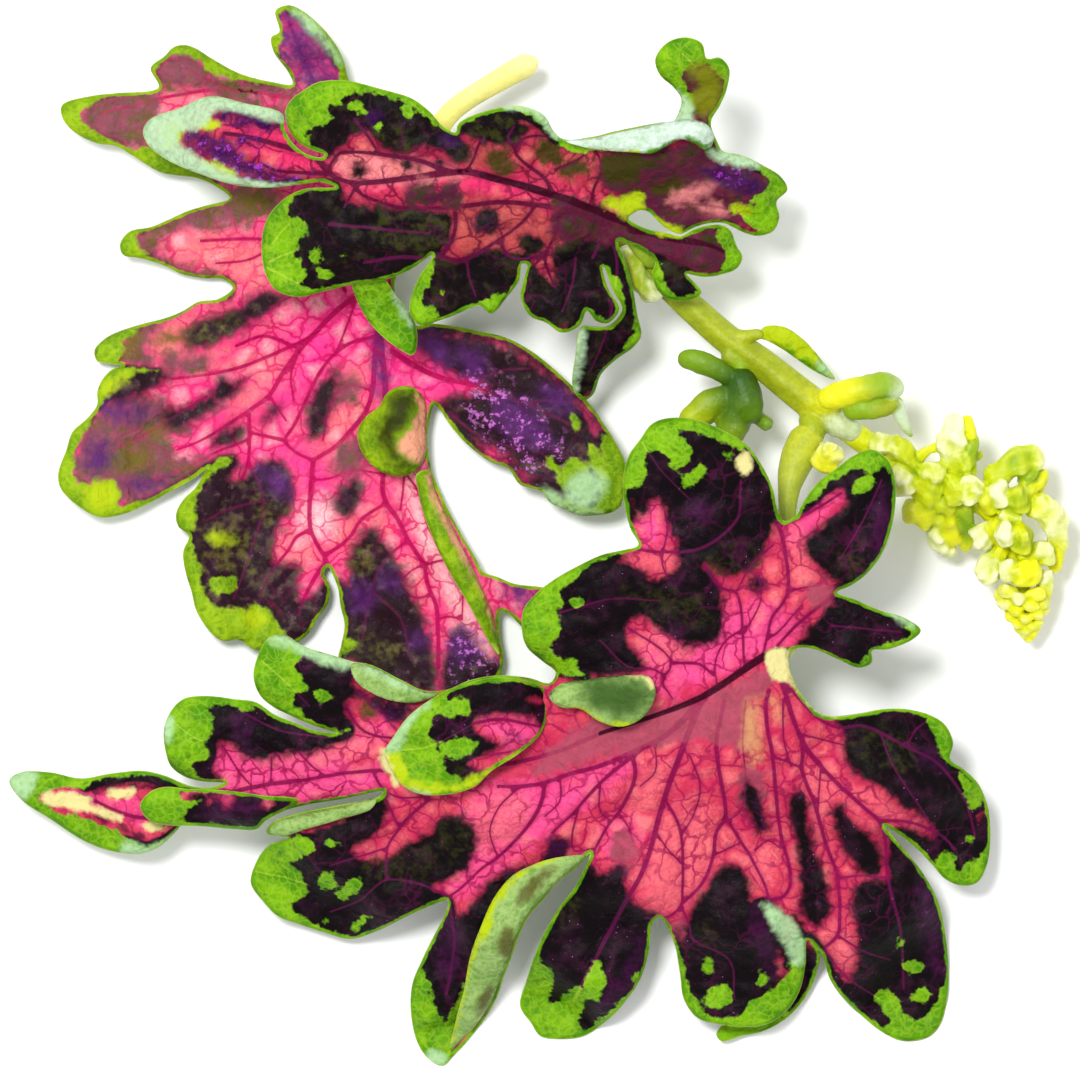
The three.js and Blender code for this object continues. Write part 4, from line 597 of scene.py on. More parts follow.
        735, 314, 729, 270, 709, 256, 696], [313, 692, 322, 688, 332, 694, 327, 699, 318, 697], [4, 781, 20,
        769, 48, 769, 80, 776, 142, 768, 168, 774, 120, 776, 100, 780, 85, 788, 50, 790, 36, 797, 50, 808,
        115, 830, 130, 840, 150, 845, 178, 832, 160, 850, 140, 858, 112, 856, 84, 846, 18, 804]],
    "blade mint": [[6, 781, 20, 770, 36, 774, 32, 790, 22, 800], [125, 842, 150, 846, 176, 834, 160, 850,
        140, 858, 118, 856], [266, 638, 285, 634, 356, 662, 345, 669, 325, 665, 290, 648, 275, 645], [160,
        730, 168, 714, 174, 722, 170, 742], [428, 1052, 444, 1056, 444, 1070, 426, 1065], [786, 915, 798,
        928, 806, 948, 804, 965, 794, 965, 786, 945, 780, 925], [762, 904, 775, 906, 786, 918, 786, 945],
        [880, 608, 905, 616, 915, 628, 900, 622]],
    "blade cream": [[40, 798, 50, 793, 66, 792, 92, 799, 84, 804, 112, 812, 124, 820, 110, 820, 90, 813, 50,
        805], [104, 792, 120, 789, 136, 791, 128, 797, 110, 798], [142, 824, 166, 825, 164, 830, 148, 831],
        [736, 455, 745, 452, 750, 462, 750, 470, 743, 477, 738, 472], [785, 650, 797, 686, 807, 701, 819,
        712, 834, 717, 819, 714, 805, 703, 793, 687, 784, 668], [380, 752, 390, 748, 396, 770, 398, 788,
        388, 775], [768, 650, 790, 650, 790, 668, 784, 682, 770, 676, 764, 662]],
    "tip_lobe dark": [[185, 815, 205, 802, 218, 800, 228, 808, 238, 800, 250, 797, 268, 812, 285, 797, 296,
        796, 306, 804, 300, 815, 266, 827]],
    "tip_lobe violet": [[200, 810, 250, 800, 262, 808, 240, 816, 210, 818], [280, 800, 292, 800, 290, 810,
        278, 812]],
    "tip_lobe green": [[136, 806, 148, 790, 165, 785, 186, 787, 176, 792, 184, 799, 200, 800, 182, 816, 190,
        822, 262, 828, 262, 832, 168, 829, 148, 824]],
    "tip_lobe hot": [[185, 785, 300, 788, 300, 797, 205, 799, 190, 794]],
    "curled_strip under": True,
    "front_lobe dark": [[446, 700, 470, 685, 530, 681, 548, 688, 540, 696, 528, 700, 560, 712, 548, 717,
        500, 712, 480, 716, 474, 726, 482, 736, 500, 742, 470, 764, 478, 772, 468, 778, 455, 775, 440, 760,
        430, 742, 428, 728]],
    "front_lobe olive": [[445, 768, 460, 765, 455, 774]],
    "front_lobe green": [[440, 711, 448, 701, 458, 697, 470, 702, 468, 712, 445, 716], [440, 745, 450, 738,
        465, 737, 478, 744, 470, 752, 455, 758, 440, 752], [382, 752, 390, 736, 405, 716, 426, 699, 448,
        686, 500, 673, 530, 675, 548, 683, 530, 680, 500, 680, 470, 684, 452, 692, 432, 722, 429, 735, 438,
        745, 441, 757, 450, 770, 462, 779, 480, 780, 495, 772, 474, 788, 445, 796, 420, 797, 400, 790]],
    "front_lobe mint": [[380, 748, 405, 714, 428, 698, 432, 702, 415, 718, 396, 750], [404, 790, 420, 790,
        432, 796, 425, 806, 410, 802]],
    "front_lobe lime": [[388, 754, 400, 754, 408, 784, 400, 788, 390, 772], [410, 788, 455, 791, 480, 782,
        506, 766, 520, 752, 484, 772, 458, 783, 430, 784, 410, 780]],
    "front_lobe hot": [[480, 718, 530, 718, 545, 740, 500, 740]],
    "front_lobe violet": [[508, 730, 522, 730, 524, 742, 510, 744]],
    "front_lobe cream": [[515, 760, 530, 750, 540, 745, 528, 758], [384, 752, 400, 788, 392, 785, 384,
        768]],
    "rolled_tip under": True,
    "rolled_tip sage": [[584, 680, 650, 684, 650, 700, 640, 712, 620, 718, 600, 712, 586, 704]],
    "rolled_tip cream": [[625, 676, 648, 672, 656, 680, 652, 688, 640, 678]],
    "rolled_tip lime": [[560, 706, 580, 706, 600, 718, 622, 724, 640, 716, 634, 724, 620, 728, 598, 724,
        578, 710]],
    "rolled_fifth under": True,
    "rolled_fifth olive": [[500, 930, 510, 925, 514, 945, 508, 960, 498, 950], [520, 890, 545, 868, 556,
        866, 518, 905], [478, 1000, 488, 985, 492, 995, 478, 1015]],
    "rolled_fifth lime": [[484, 905, 500, 885, 530, 866, 560, 856, 534, 868, 512, 886, 498, 905, 490, 930,
        478, 950, 450, 1050, 468, 960]],
    "rolled_sixth under": True,
    "under_lobe dark": [[800, 950, 815, 955, 812, 975, 800, 1000, 782, 1016, 770, 1020, 795, 975]],
    "under_lobe green": [[800, 1004, 786, 1020, 764, 1035, 715, 1046, 712, 1036, 738, 1022, 770, 1022]],
    "curled_strip mint": [[352, 662, 374, 664, 432, 692, 400, 686]],
    "blade sand": [[748, 700, 756, 700, 757, 762, 748, 762, 744, 745], [768, 698, 778, 700, 785, 714, 778,
        720], [784, 650, 800, 656, 804, 690, 788, 690, 778, 668]],
}

YOUNG_MARKS = {
    "blade green": True,
    "blade lime": [[752, 322, 775, 322, 800, 330, 812, 345, 820, 362, 800, 356, 780, 344, 758, 345]],
    "blade mint": [[818, 362, 826, 362, 842, 384, 826, 378]],
}

# Each vein: its width where it starts and where it ends, then its course.
TOP_VEINS = {
    "blade": [[9, 7, 640, 229, 574, 203, 520, 186, 482, 176], [7, 4, 482, 176, 465, 173, 448, 174, 357, 184,
        340, 180, 328, 173], [5, 3, 465, 173, 448, 172, 420, 162, 400, 158, 355, 153, 340, 154, 328, 173],
        [6, 4, 330, 173, 315, 158, 300, 152, 245, 137, 225, 134], [4, 2, 328, 175, 275, 170, 262, 164], [3,
        2, 355, 120, 372, 142, 380, 155], [3, 2, 485, 140, 480, 145, 475, 158, 466, 173], [4, 2, 552, 192,
        545, 180, 520, 160, 515, 150, 522, 141, 535, 137, 548, 138], [2.5, 2, 515, 150, 508, 138, 514, 128],
        [3, 2, 590, 205, 593, 190, 602, 168, 597, 154, 589, 145], [2.5, 1.5, 555, 171, 582, 158, 590, 147],
        [6, 4, 630, 229, 600, 224, 580, 215, 555, 209, 530, 205, 500, 203, 455, 208], [4, 3, 455, 208, 430,
        209, 400, 208, 380, 203, 360, 193, 357, 184], [4, 3, 455, 208, 456, 225, 452, 240, 440, 256, 400,
        257, 365, 262], [4, 2.5, 440, 256, 458, 260, 475, 255, 500, 240, 520, 225, 537, 206], [3, 2, 357,
        186, 345, 208], [4, 2, 560, 212, 555, 235, 548, 250, 545, 262, 555, 288], [3, 2, 500, 240, 505, 252,
        515, 259, 532, 258, 546, 252], [3, 2, 548, 250, 535, 265], [4, 3, 600, 226, 598, 245, 592, 258],
        [12, 4, 632, 229, 650, 232, 668, 238, 710, 246, 722, 252], [5, 2, 628, 205, 640, 192, 655, 184, 680,
        178, 700, 171, 720, 172], [4, 2, 652, 212, 670, 205, 700, 205, 730, 210, 748, 218], [3, 2, 330, 225,
        430, 234], [2.5, 1.5, 606, 232, 616, 260, 606, 330, 590, 370], [2.5, 1.5, 700, 122, 704, 100, 700,
        76, 682, 56], [2, 1.5, 270, 262, 285, 255, 300, 250], [2, 1.5, 268, 268, 300, 284], [2, 1.5, 273,
        244, 282, 232, 290, 224], [2.5, 1.5, 467, 262, 470, 280, 476, 296], [2.5, 1.5, 575, 258, 572, 285,
        562, 312]],
}

LEFT_VEINS = {
    "blade": [[8, 6, 404, 240, 398, 265, 388, 290, 383, 310], [6, 4, 385, 300, 378, 330, 374, 360, 372, 390,
        366, 410, 350, 430, 335, 446, 312, 460], [7, 5, 386, 300, 380, 330, 385, 386, 384, 460], [6, 4, 382,
        298, 355, 297, 310, 336, 282, 372, 268, 395, 248, 410], [4, 3, 374, 335, 350, 342, 335, 352, 320,
        370, 293, 425, 284, 440, 295, 452, 312, 460], [5, 4, 312, 460, 310, 530, 326, 562], [4, 3, 310, 530,
        295, 538, 288, 550, 278, 562], [5, 3, 326, 562, 318, 572, 302, 602, 298, 615], [4, 3, 326, 555, 340,
        546, 350, 536, 360, 520, 372, 511, 386, 503], [5, 4, 384, 460, 382, 490, 386, 503, 398, 520, 408,
        540, 424, 565, 428, 585, 436, 605, 438, 630, 438, 668], [3, 2, 424, 565, 438, 561, 452, 560], [3, 2,
        437, 620, 450, 617, 462, 620], [4, 3, 248, 410, 247, 460, 240, 480], [4, 3, 284, 440, 248, 432], [4,
        2, 248, 410, 200, 440, 175, 450], [6, 3, 392, 350, 420, 368, 440, 377, 470, 384, 545, 412, 580,
        430], [4, 2, 432, 358, 455, 371, 492, 384], [3, 2, 450, 412, 470, 430, 490, 440, 520, 450, 548,
        470], [4, 3, 310, 336, 275, 352, 240, 366, 205, 374, 170, 378], [4, 3, 300, 348, 262, 335, 235,
        345], [4, 3, 345, 290, 320, 250, 280, 240, 240, 238, 200, 240], [3, 2, 280, 240, 250, 258, 215,
        262], [5, 3, 398, 250, 372, 190, 318, 90, 288, 20], [4, 3, 340, 130, 300, 100, 260, 92, 200, 90,
        100, 112], [3, 2, 260, 92, 230, 88, 195, 72, 178, 62], [3, 2, 300, 98, 270, 96], [3, 2, 205, 396,
        150, 430, 110, 450], [3, 2, 245, 440, 215, 452, 180, 470, 140, 484], [3, 2, 247, 460, 262, 500, 250,
        550, 232, 600], [3, 2, 278, 562, 262, 590, 255, 620], [3, 2, 262, 500, 225, 510, 205, 520], [3, 2,
        408, 540, 385, 560, 370, 590, 362, 640], [3, 2, 370, 590, 400, 620, 410, 660], [3, 2, 384, 430, 398,
        440, 404, 470, 400, 510], [2.5, 2, 404, 470, 418, 490, 430, 530, 450, 560], [2.5, 2, 372, 390, 350,
        385, 330, 400, 322, 440], [2.5, 2, 350, 430, 362, 450, 384, 460], [2.5, 2, 311, 480, 330, 478, 350,
        470, 384, 474], [2.5, 2, 356, 300, 335, 352], [2.5, 2, 298, 350, 290, 375, 293, 400], [2.5, 2, 268,
        395, 285, 420], [2.5, 1.5, 397, 585, 412, 570, 424, 565], [2.5, 1.5, 432, 595, 415, 598, 400, 590],
        [2.5, 1.5, 452, 560, 462, 585, 462, 620], [3, 2, 470, 384, 500, 370, 530, 368], [3, 2, 520, 403,
        548, 400, 570, 402]],
}

BOTTOM_VEINS = {
    "blade": [[9, 5, 788, 651, 768, 654, 700, 697, 600, 733], [5, 4, 600, 733, 560, 750, 520, 761, 480, 766,
        350, 772, 300, 780], [5, 4, 300, 780, 260, 786, 215, 797, 145, 818, 80, 795], [5, 3, 776, 522, 782,
        540, 787, 592, 780, 605, 772, 615, 762, 655], [4, 3, 703, 565, 722, 588, 735, 592, 744, 668], [4, 3,
        776, 525, 790, 522, 805, 515, 840, 493], [5, 3, 836, 593, 800, 620, 770, 652], [3, 2, 772, 545, 752,
        562, 735, 592], [3, 2, 787, 592, 800, 588, 818, 585], [4, 3, 635, 549, 662, 552, 700, 548, 735, 520,
        740, 480], [3, 2, 662, 552, 662, 565, 668, 578], [3, 2, 662, 552, 667, 530, 664, 510], [3, 2, 628,
        628, 662, 650, 670, 662, 665, 673, 650, 668, 630, 667, 600, 640], [4, 3, 670, 662, 700, 664, 712,
        674], [3, 2, 665, 673, 662, 682, 672, 698], [3, 2, 740, 630, 725, 640, 715, 660, 716, 682], [6, 3,
        775, 662, 782, 685, 806, 748, 865, 808, 878, 819, 884, 832, 888, 880, 900, 930, 905, 990], [4, 3,
        878, 819, 912, 822, 945, 838, 955, 850], [4, 3, 852, 795, 842, 790], [3, 2, 840, 878, 862, 876, 886,
        878], [5, 4, 801, 735, 802, 755, 801, 768, 815, 805, 828, 850, 836, 870, 839, 890, 840, 915, 838,
        935, 822, 950], [3, 2, 838, 935, 862, 950, 890, 960], [3, 2, 827, 952, 836, 965, 848, 978, 880,
        1000], [5, 4, 768, 690, 765, 705, 767, 730, 771, 750, 780, 830, 790, 872, 789, 888, 780, 898, 766,
        899], [3, 2, 771, 755, 785, 760, 801, 768], [4, 3, 784, 682, 818, 718, 840, 727, 860, 725, 880, 732,
        905, 747, 935, 762, 965, 800, 975, 835], [3, 2, 905, 747, 915, 730, 925, 722], [2.5, 2, 880, 732,
        890, 760, 935, 830], [5, 4, 724, 700, 716, 740, 718, 765, 725, 815, 716, 832, 713, 855, 708, 872,
        700, 886, 681, 904], [4, 3, 725, 815, 755, 865, 766, 888, 770, 902, 788, 918], [3, 2, 755, 850, 768,
        840, 780, 848], [3, 2, 713, 855, 741, 842], [7, 4, 700, 702, 665, 795, 650, 850, 642, 872, 626, 900,
        575, 1000], [4, 3, 666, 800, 676, 818, 681, 835, 682, 890, 681, 905, 668, 916, 645, 917], [3, 2,
        681, 905, 690, 925, 693, 938, 730, 960, 735, 1000], [7, 4, 705, 697, 665, 735, 640, 748, 600, 765,
        570, 773, 545, 782, 520, 786, 498, 786], [5, 3, 642, 748, 600, 782, 570, 815, 552, 832], [5, 3, 545,
        783, 541, 802, 530, 822, 515, 840, 500, 855, 480, 870, 462, 888, 449, 897], [4, 3, 449, 897, 455,
        940, 452, 965, 446, 995], [3, 2, 449, 897, 425, 886, 386, 880, 360, 900, 330, 912], [5, 3, 632, 753,
        635, 775, 618, 812, 606, 828, 590, 860], [3, 2, 618, 812, 628, 826, 633, 842], [3, 2, 578, 808, 572,
        835, 574, 850, 596, 848], [3, 2, 222, 745, 240, 772, 252, 786], [3, 2, 272, 757, 271, 784], [3, 2,
        300, 752, 312, 765, 325, 774], [4, 3, 345, 704, 360, 727, 375, 735, 392, 737], [3, 2, 356, 690, 370,
        700, 386, 714, 402, 722], [3, 2, 374, 774, 382, 786, 396, 796, 430, 796], [3, 2, 385, 796, 399,
        826], [4, 3, 430, 798, 410, 815, 399, 828, 388, 846, 386, 862, 386, 880], [3, 2, 386, 848, 330,
        865], [2.5, 2, 520, 786, 500, 805, 490, 830, 497, 855], [2.5, 2, 560, 776, 560, 800, 545, 815],
        [2.5, 2, 655, 742, 655, 770, 640, 785], [2.5, 2, 600, 783, 600, 810, 612, 822], [2.5, 2, 690, 755,
        700, 785, 694, 812, 681, 835], [2.5, 2, 745, 700, 742, 740, 745, 780, 740, 810, 727, 820], [2.5, 2,
        656, 832, 668, 850, 680, 862], [2.5, 2, 782, 700, 783, 740, 790, 765], [2.5, 2, 820, 762, 818, 812],
        [2.5, 2, 800, 733, 845, 745], [2.5, 2, 745, 630, 760, 600, 758, 575], [2.5, 2, 765, 640, 780, 628,
        800, 605], [2.5, 2, 240, 710, 280, 730, 330, 738], [2.5, 2, 830, 625, 900, 632], [2.5, 2, 880, 480,
        862, 520, 838, 560], [2.5, 2, 560, 612, 610, 598, 660, 600], [2, 1.5, 255, 872, 285, 878, 310, 885],
        [2, 1.5, 262, 660, 285, 680, 310, 705], [2, 1.5, 172, 720, 190, 735, 205, 742], [2, 1.5, 640, 440,
        660, 470, 690, 500]],
    "front_lobe": [[4, 3, 476, 722, 500, 718, 545, 726, 562, 722, 590, 708], [3, 2, 545, 735, 576, 722], [3,
        2, 490, 755, 540, 742, 548, 726], [2.5, 2, 395, 750, 430, 745, 476, 722]],
}

YOUNG_VEINS = {
    "blade": [[2, 1.5, 762, 333, 785, 338, 805, 351, 828, 372]],
}
# ------------------------------------------------------------------------------- curves and sheets


def drawn(numbers):
    """Places of the drawing, a run of x and y, in millimetres."""
    return (np.array(numbers, float).reshape(-1, 2) - CENTRE) * (TENTH, -TENTH)


def drawn_path(numbers):
    """Places of the drawing with their heights, a run of x, y and height, in millimetres."""
    rows = np.array(numbers, float).reshape(-1, 3)
    return np.column_stack([drawn(rows[:, :2]), rows[:, 2]])


def smooth(points, step, closed=True):
    """A curve through the points, and which of them each of its places follows."""
    if closed:
        ring = np.vstack([points[-1:], points, points[:2]])
    else:
        ring = np.vstack([2 * points[0] - points[1], points, 2 * points[-1] - points[-2]])
    spots, owner = [], []
    for i in range(len(ring) - 3):
        a, b, c, d = ring[i : i + 4]
        ab, bc, cd = (max(np.linalg.norm(q - p), TOUCHING) ** 0.5 for p, q in ((a, b), (b, c), (c, d)))
        leaving = ((b - a) / ab - (c - a) / (ab + bc) + (c - b) / bc) * bc
        arriving = ((c - b) / bc - (d - b) / (bc + cd) + (d - c) / cd) * bc
        pieces = max(1, round(float(np.linalg.norm(c - b)) / step))
        t = np.arange(pieces)[:, None] / pieces
        spots.append(
            (2 * t**3 - 3 * t**2 + 1) * b
            + (t**3 - 2 * t**2 + t) * leaving
            + (3 * t**2 - 2 * t**3) * c
            + (t**3 - t**2) * arriving
        )
        owner += [i] * pieces
    if not closed:
        spots.append(points[-1:])
        owner.append(len(points) - 1)
    return np.vstack(spots), np.array(owner)


def nearest(spots, line, closed=False):
    """How far each spot lies from a line, and how far along the line, from 0 to 1, it is nearest."""
    starts = line if closed else line[:-1]
    ends = np.roll(line, -1, 0) if closed else line[1:]
    run = ends - starts
    square = np.maximum((run**2).sum(1), TINY)
    gap = np.empty(len(spots))
    share = np.empty(len(spots))
    for first in range(0, len(spots), BATCH):
        some = spots[first : first + BATCH, None]
        along = np.clip(((some - starts) * run).sum(2) / square, 0, 1)
        gaps = np.linalg.norm(some - starts - along[..., None] * run, axis=2)
        best = gaps.argmin(1)
        rows = np.arange(len(best))
        gap[first : first + BATCH] = gaps[rows, best]
        share[first : first + BATCH] = (best + along[rows, best]) / len(starts)
    return gap, share


def inside(spots, loop):
    """Whether each spot lies inside a closed loop."""
    x, y = spots.T
    hit = np.zeros(len(spots), bool)
    for (ax, ay), (bx, by) in zip(loop, np.roll(loop, -1, 0)):
        if ay != by:
            hit ^= ((ay > y) != (by > y)) & (x < ax + (y - ay) * (bx - ax) / (by - ay))
    return hit


def around(spots, line, room):
    """Whether each spot lies in a line's box, let out by room."""
    return np.all((spots > line.min(0) - room) & (spots < line.max(0) + room), 1)


def depth_in(spots, loops):
    """How deep each spot lies in any of the drawn patches, less than 0 outside them."""
    depth = np.full(len(spots), -FADE)
    for loop in loops:
        edge, _ = smooth(drawn(loop), PATCH_STEP)
        near = around(spots, edge, FADE)
        gap, _ = nearest(spots[near], edge, True)
        depth[near] = np.maximum(depth[near], np.where(inside(spots[near], edge), gap, -gap))
    return np.clip(depth, -FADE, FADE)


def fill(outline, lines, step):
    """Triangles that fill an outline, with edges along it and along the lines."""
    low, high = outline.min(0), outline.max(0)
    columns = np.arange(low[0], high[0], step)
    grid = np.vstack([
        np.column_stack([columns + (i % 2) * step / 2, np.full(len(columns), y)])
        for i, y in enumerate(np.arange(low[1], high[1], step * ROW_STEP))
    ])
    grid += random.uniform(-SHAKE, SHAKE, grid.shape) * step
    grid = grid[inside(grid, outline)]
    grid = grid[nearest(grid, outline, True)[0] > step * EDGE_GAP]
    places = [outline]
    edges = [(i, (i + 1) % len(outline)) for i in range(len(outline))]
    count = len(outline)
    for line in lines:
        near = around(grid, line, step)
        near[near] = nearest(grid[near], line)[0] < step * VEIN_GAP
        grid = grid[~near]
        kept = inside(line, outline) & (nearest(line, outline, True)[0] > VEIN_STOP)
        edges += [(count + i, count + i + 1) for i in range(len(line) - 1) if kept[i] and kept[i + 1]]
        places.append(np.where(kept[:, None], line, line[kept][:1] if kept.any() else outline[:1]))
        count += len(line)
    places.append(grid)
    corners = [Vector(place) for place in np.vstack(places)]
    spots, _, faces, *_ = delaunay_2d_cdt(corners, edges, [], 0, MERGED, False)
    spots = np.array([spot[:] for spot in spots])
    faces = np.array([face[:3] for face in faces])
    faces = faces[inside(spots[faces].mean(1), outline)]
    a, b, c = (spots[faces[:, k]] for k in range(3))
    area = (b[:, 0] - a[:, 0]) * (c[:, 1] - a[:, 1]) - (b[:, 1] - a[:, 1]) * (c[:, 0] - a[:, 0])
    faces = faces[np.abs(area) > SMALL]
    if np.median(area) < 0:
        faces = faces[:, ::-1]
    used, faces = np.unique(faces, return_inverse=True)
    return spots[used], faces.reshape(-1, 3)


def ripple(spots, wave, seed):
    """A soft uneven swell, from about -1 to 1, a few waves laid over one another."""
    rolls = np.random.default_rng(seed)
    swell = np.zeros(len(spots))
    for _ in range(WAVES):
        way = rolls.normal(size=spots.shape[1])
        way *= 2 * math.pi / (wave * rolls.uniform(*WAVE_SPREAD)) / np.linalg.norm(way)
        swell += np.sin(spots @ way + rolls.uniform(0, 2 * math.pi))
    return swell / math.sqrt(WAVES)


def closed_sheet(spots, heights, faces, half):
    """A thin closed sheet on both sides of a surface: its points and its triangles."""
    middle = np.column_stack([spots, heights])
    corners = middle[faces]
    across = np.cross(corners[:, 1] - corners[:, 0], corners[:, 2] - corners[:, 0])
    normals = np.zeros_like(middle)
    for k in range(3):
        np.add.at(normals, faces[:, k], across)
    normals /= np.linalg.norm(normals, axis=1)[:, None] + TINY
    count = len(spots)
    sides = np.vstack([faces[:, [0, 1]], faces[:, [1, 2]], faces[:, [2, 0]]])
    back = {(b, a) for a, b in sides.tolist()}
    rim = np.array([side for side in sides.tolist() if tuple(side) not in back])
    a, b = rim.T
    walls = np.vstack([np.column_stack([a, a + count, b + count]), np.column_stack([a, b + count, b])])
    points = np.vstack([middle + normals * half[:, None], middle - normals * half[:, None]])
    return points, np.vstack([faces, faces[:, ::-1] + count, walls])


def leaf_surface(leaf):
    """A leaf's outline, and the function that gives the height of its middle surface."""
    control = [(lobe, place) for lobe, run in leaf["lobes"].items() for place in drawn(run)]
    outline, owner = smooth(np.array([place for _, place in control]), EDGE_STEP)
    marks = drawn_path(leaf["heights"])
    lobe_of = np.array([control[i][0] for i in owner])

    def height_at(spots):
        weight = (((spots[:, None] - marks[:, :2]) ** 2).sum(2) + HEIGHT_REACH) ** -2.0
        heights = (weight * marks[:, 2]).sum(1) / weight.sum(1)
        heights -= leaf["droop"] * np.exp(-nearest(spots, outline, True)[0] / DROOP_REACH)
        for lobe, lift in leaf["lifts"].items():
            loop = outline[lobe_of == lobe]
            chord = loop[-1] - loop[0]
            chord /= np.linalg.norm(chord)
            away = np.abs((spots - loop[0]) @ (-chord[1], chord[0]))
            reach = np.abs((loop - loop[0]) @ (-chord[1], chord[0])).max()
            mine = inside(spots, loop) | (nearest(spots, loop)[0] < ON_LINE)
            heights[mine] += lift * np.clip(away[mine] / reach, 0, 1) ** LIFT_POWER
        return heights

    return outline, height_at


def vein_field(spots, veins):
    """How far each spot lies outside the nearest vein, less than 0 in it."""
    field = np.full(len(spots), VEIN_FAR)
    for start, end, line in veins:
        near = around(spots, line, VEIN_FAR)
        gap, share = nearest(spots[near], line)
        field[near] = np.minimum(field[near], gap - TENTH * (start + (end - start) * share) / 2)
    return field


def fold_raise(flap, gap):
    """How much a rolled edge lifts the blade under it, and how high its turned-over part lies."""
    radius = flap["rise"] / 2
    swing = np.sqrt(1 - np.clip(1 - gap / radius, 0, 1) ** 2)
    return radius * (1 - swing), radius * (1 + swing)


def leaf_sheets(leaf, marks, veins, seed):
    """All the sheets of a leaf: points, triangles and fields of each."""
    outline, height_at = leaf_surface(leaf)
    sheets = []
    for name in ["blade", *leaf["flaps"]]:
        lines = [
            (row[0], row[1], smooth(drawn(row[2:]), VEIN_STEP, False)[0])
            for row in veins.get(name, [])
        ]
        if name == "blade":
            edge = outline
        else:
            flap = leaf["flaps"][name]
            edge, _ = smooth(drawn(flap["outline"]), EDGE_STEP)
        spots, faces = fill(edge, [line for _, _, line in lines], SHEET_STEP)
        margin = nearest(spots, edge, True)[0]
        vein = vein_field(spots, lines)
        heights = height_at(spots)
        if name == "blade":
            for flap in leaf["flaps"].values():
                if flap.get("rolled"):
                    heights += fold_raise(flap, nearest(spots, drawn(flap["root"]))[0])[0]
        else:
            gap, _ = nearest(spots, drawn(flap["root"]))
            if flap.get("rolled"):
                heights += fold_raise(flap, gap)[1]
            else:
                bent = np.clip(gap / (FLAP_BEND * abs(flap["rise"])), 0, 1)
                heights += flap["rise"] * np.sin(bent * math.pi / 2)
        open_part = np.clip(margin / MARGIN_BAND, 0, 1)
        heights += PUFF * open_part * (1 - np.exp(-((np.maximum(vein, 0) / PUFF_REACH) ** 2)))
        heights += CRUMPLE * ripple(spots, CRUMPLE_WAVE, seed) * open_part
        heights += EDGE_WAVE * ripple(spots, EDGE_WAVELENGTH, seed + 1) * np.exp(-margin / EDGE_BAND)
        half = np.where(margin < ON_RIM, RIM_HALF, BLADE_HALF)
        points, triangles = closed_sheet(spots, np.maximum(heights, LOWEST), faces, half)
        ribs = [row for row in lines if row[0] >= RIB_WIDTH]
        fields = {"margin": margin, "vein": vein, "rib": vein_field(spots, ribs)}
        for kind in KINDS:
            loops = marks.get(f"{name} {kind}", [])
            fields[kind] = np.full(len(spots), FADE) if loops is True else depth_in(spots, loops)
        fields = {kind: np.tile(field, 2) for kind, field in fields.items()}
        turned = f"{name} under" in marks
        fields["under"] = np.repeat([float(turned), float(not turned)], len(spots))
        sheets.append((points, triangles, fields))
    return sheets, height_at


def whole(shapes):
    """Several shapes as one: their points, triangles and fields."""
    starts = np.cumsum([0, *(len(points) for points, _, _ in shapes[:-1])])
    faces = np.vstack([triangles + start for (_, triangles, _), start in zip(shapes, starts)])
    fields = {name: np.concatenate([shape[2][name] for shape in shapes]) for name in shapes[0][2]}
    return np.vstack([points for points, _, _ in shapes]), faces, fields


def carry(mesh, fields):
    """Gives a mesh its fields, a value for each point."""
    for field, values in fields.items():
        layer = mesh.attributes.new(field, "FLOAT", "POINT")
        layer.data.foreach_set("value", values.astype("f"))


def mesh_of(name, points, faces, fields, edges=()):
    """A Blender mesh, in metres, that carries the fields."""
    mesh = bpy.data.meshes.new(name)
    mesh.from_pydata((points * METRES).tolist(), edges, faces.tolist())
    carry(mesh, fields)
    return mesh


def show(name, data):
    """Puts a mesh, lamp or camera in the scene as an object."""
    made = bpy.data.objects.new(name, data)
    bpy.context.collection.objects.link(made)
    return made


def claim(name, mesh, node, slot, finish):
    """Puts a finished mesh in the place of its solid."""
    mesh.polygons.foreach_set("use_smooth", [True] * len(mesh.polygons))
    mesh.materials.clear()
    mesh.materials.append(finish)
    made = show(name, mesh)
    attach(made, "root")
    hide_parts(node)


# ------------------------------------------------------------------------------- finishes


class Value:
    """A value inside a tree of nodes, which adds and multiplies as a number does."""

    def __init__(self, tree, socket):
        self.tree = tree
        self.socket = socket

    def math(self, operation, first, second):
        return self.tree.node("ShaderNodeMath", {"operation": operation}, {0: first, 1: second})

    def __add__(self, other):
        return self.math("ADD", self, other)

    def __sub__(self, other):
        return self.math("SUBTRACT", self, other)

    def __rsub__(self, other):
        return self.math("SUBTRACT", other, self)

    def __mul__(self, other):
        return self.math("MULTIPLY", self, other)

    __radd__ = __add__
    __rmul__ = __mul__


class Tree:
    """A tree of nodes, written as calls and sums."""

    def __init__(self, tree):
        self.tree = tree

    def node(self, kind, settings, values, output=0):
        """Any node: its settings first, then the values or links of its sockets."""
        made = self.tree.nodes.new(kind)
        for name, setting in settings.items():
            setattr(made, name, setting)
        for name, value in values.items():
            if isinstance(value, Value):
                self.tree.links.new(value.socket, made.inputs[name])
            else:
                made.inputs[name].default_value = value
        return Value(self, made.outputs[output]) if made.outputs else None


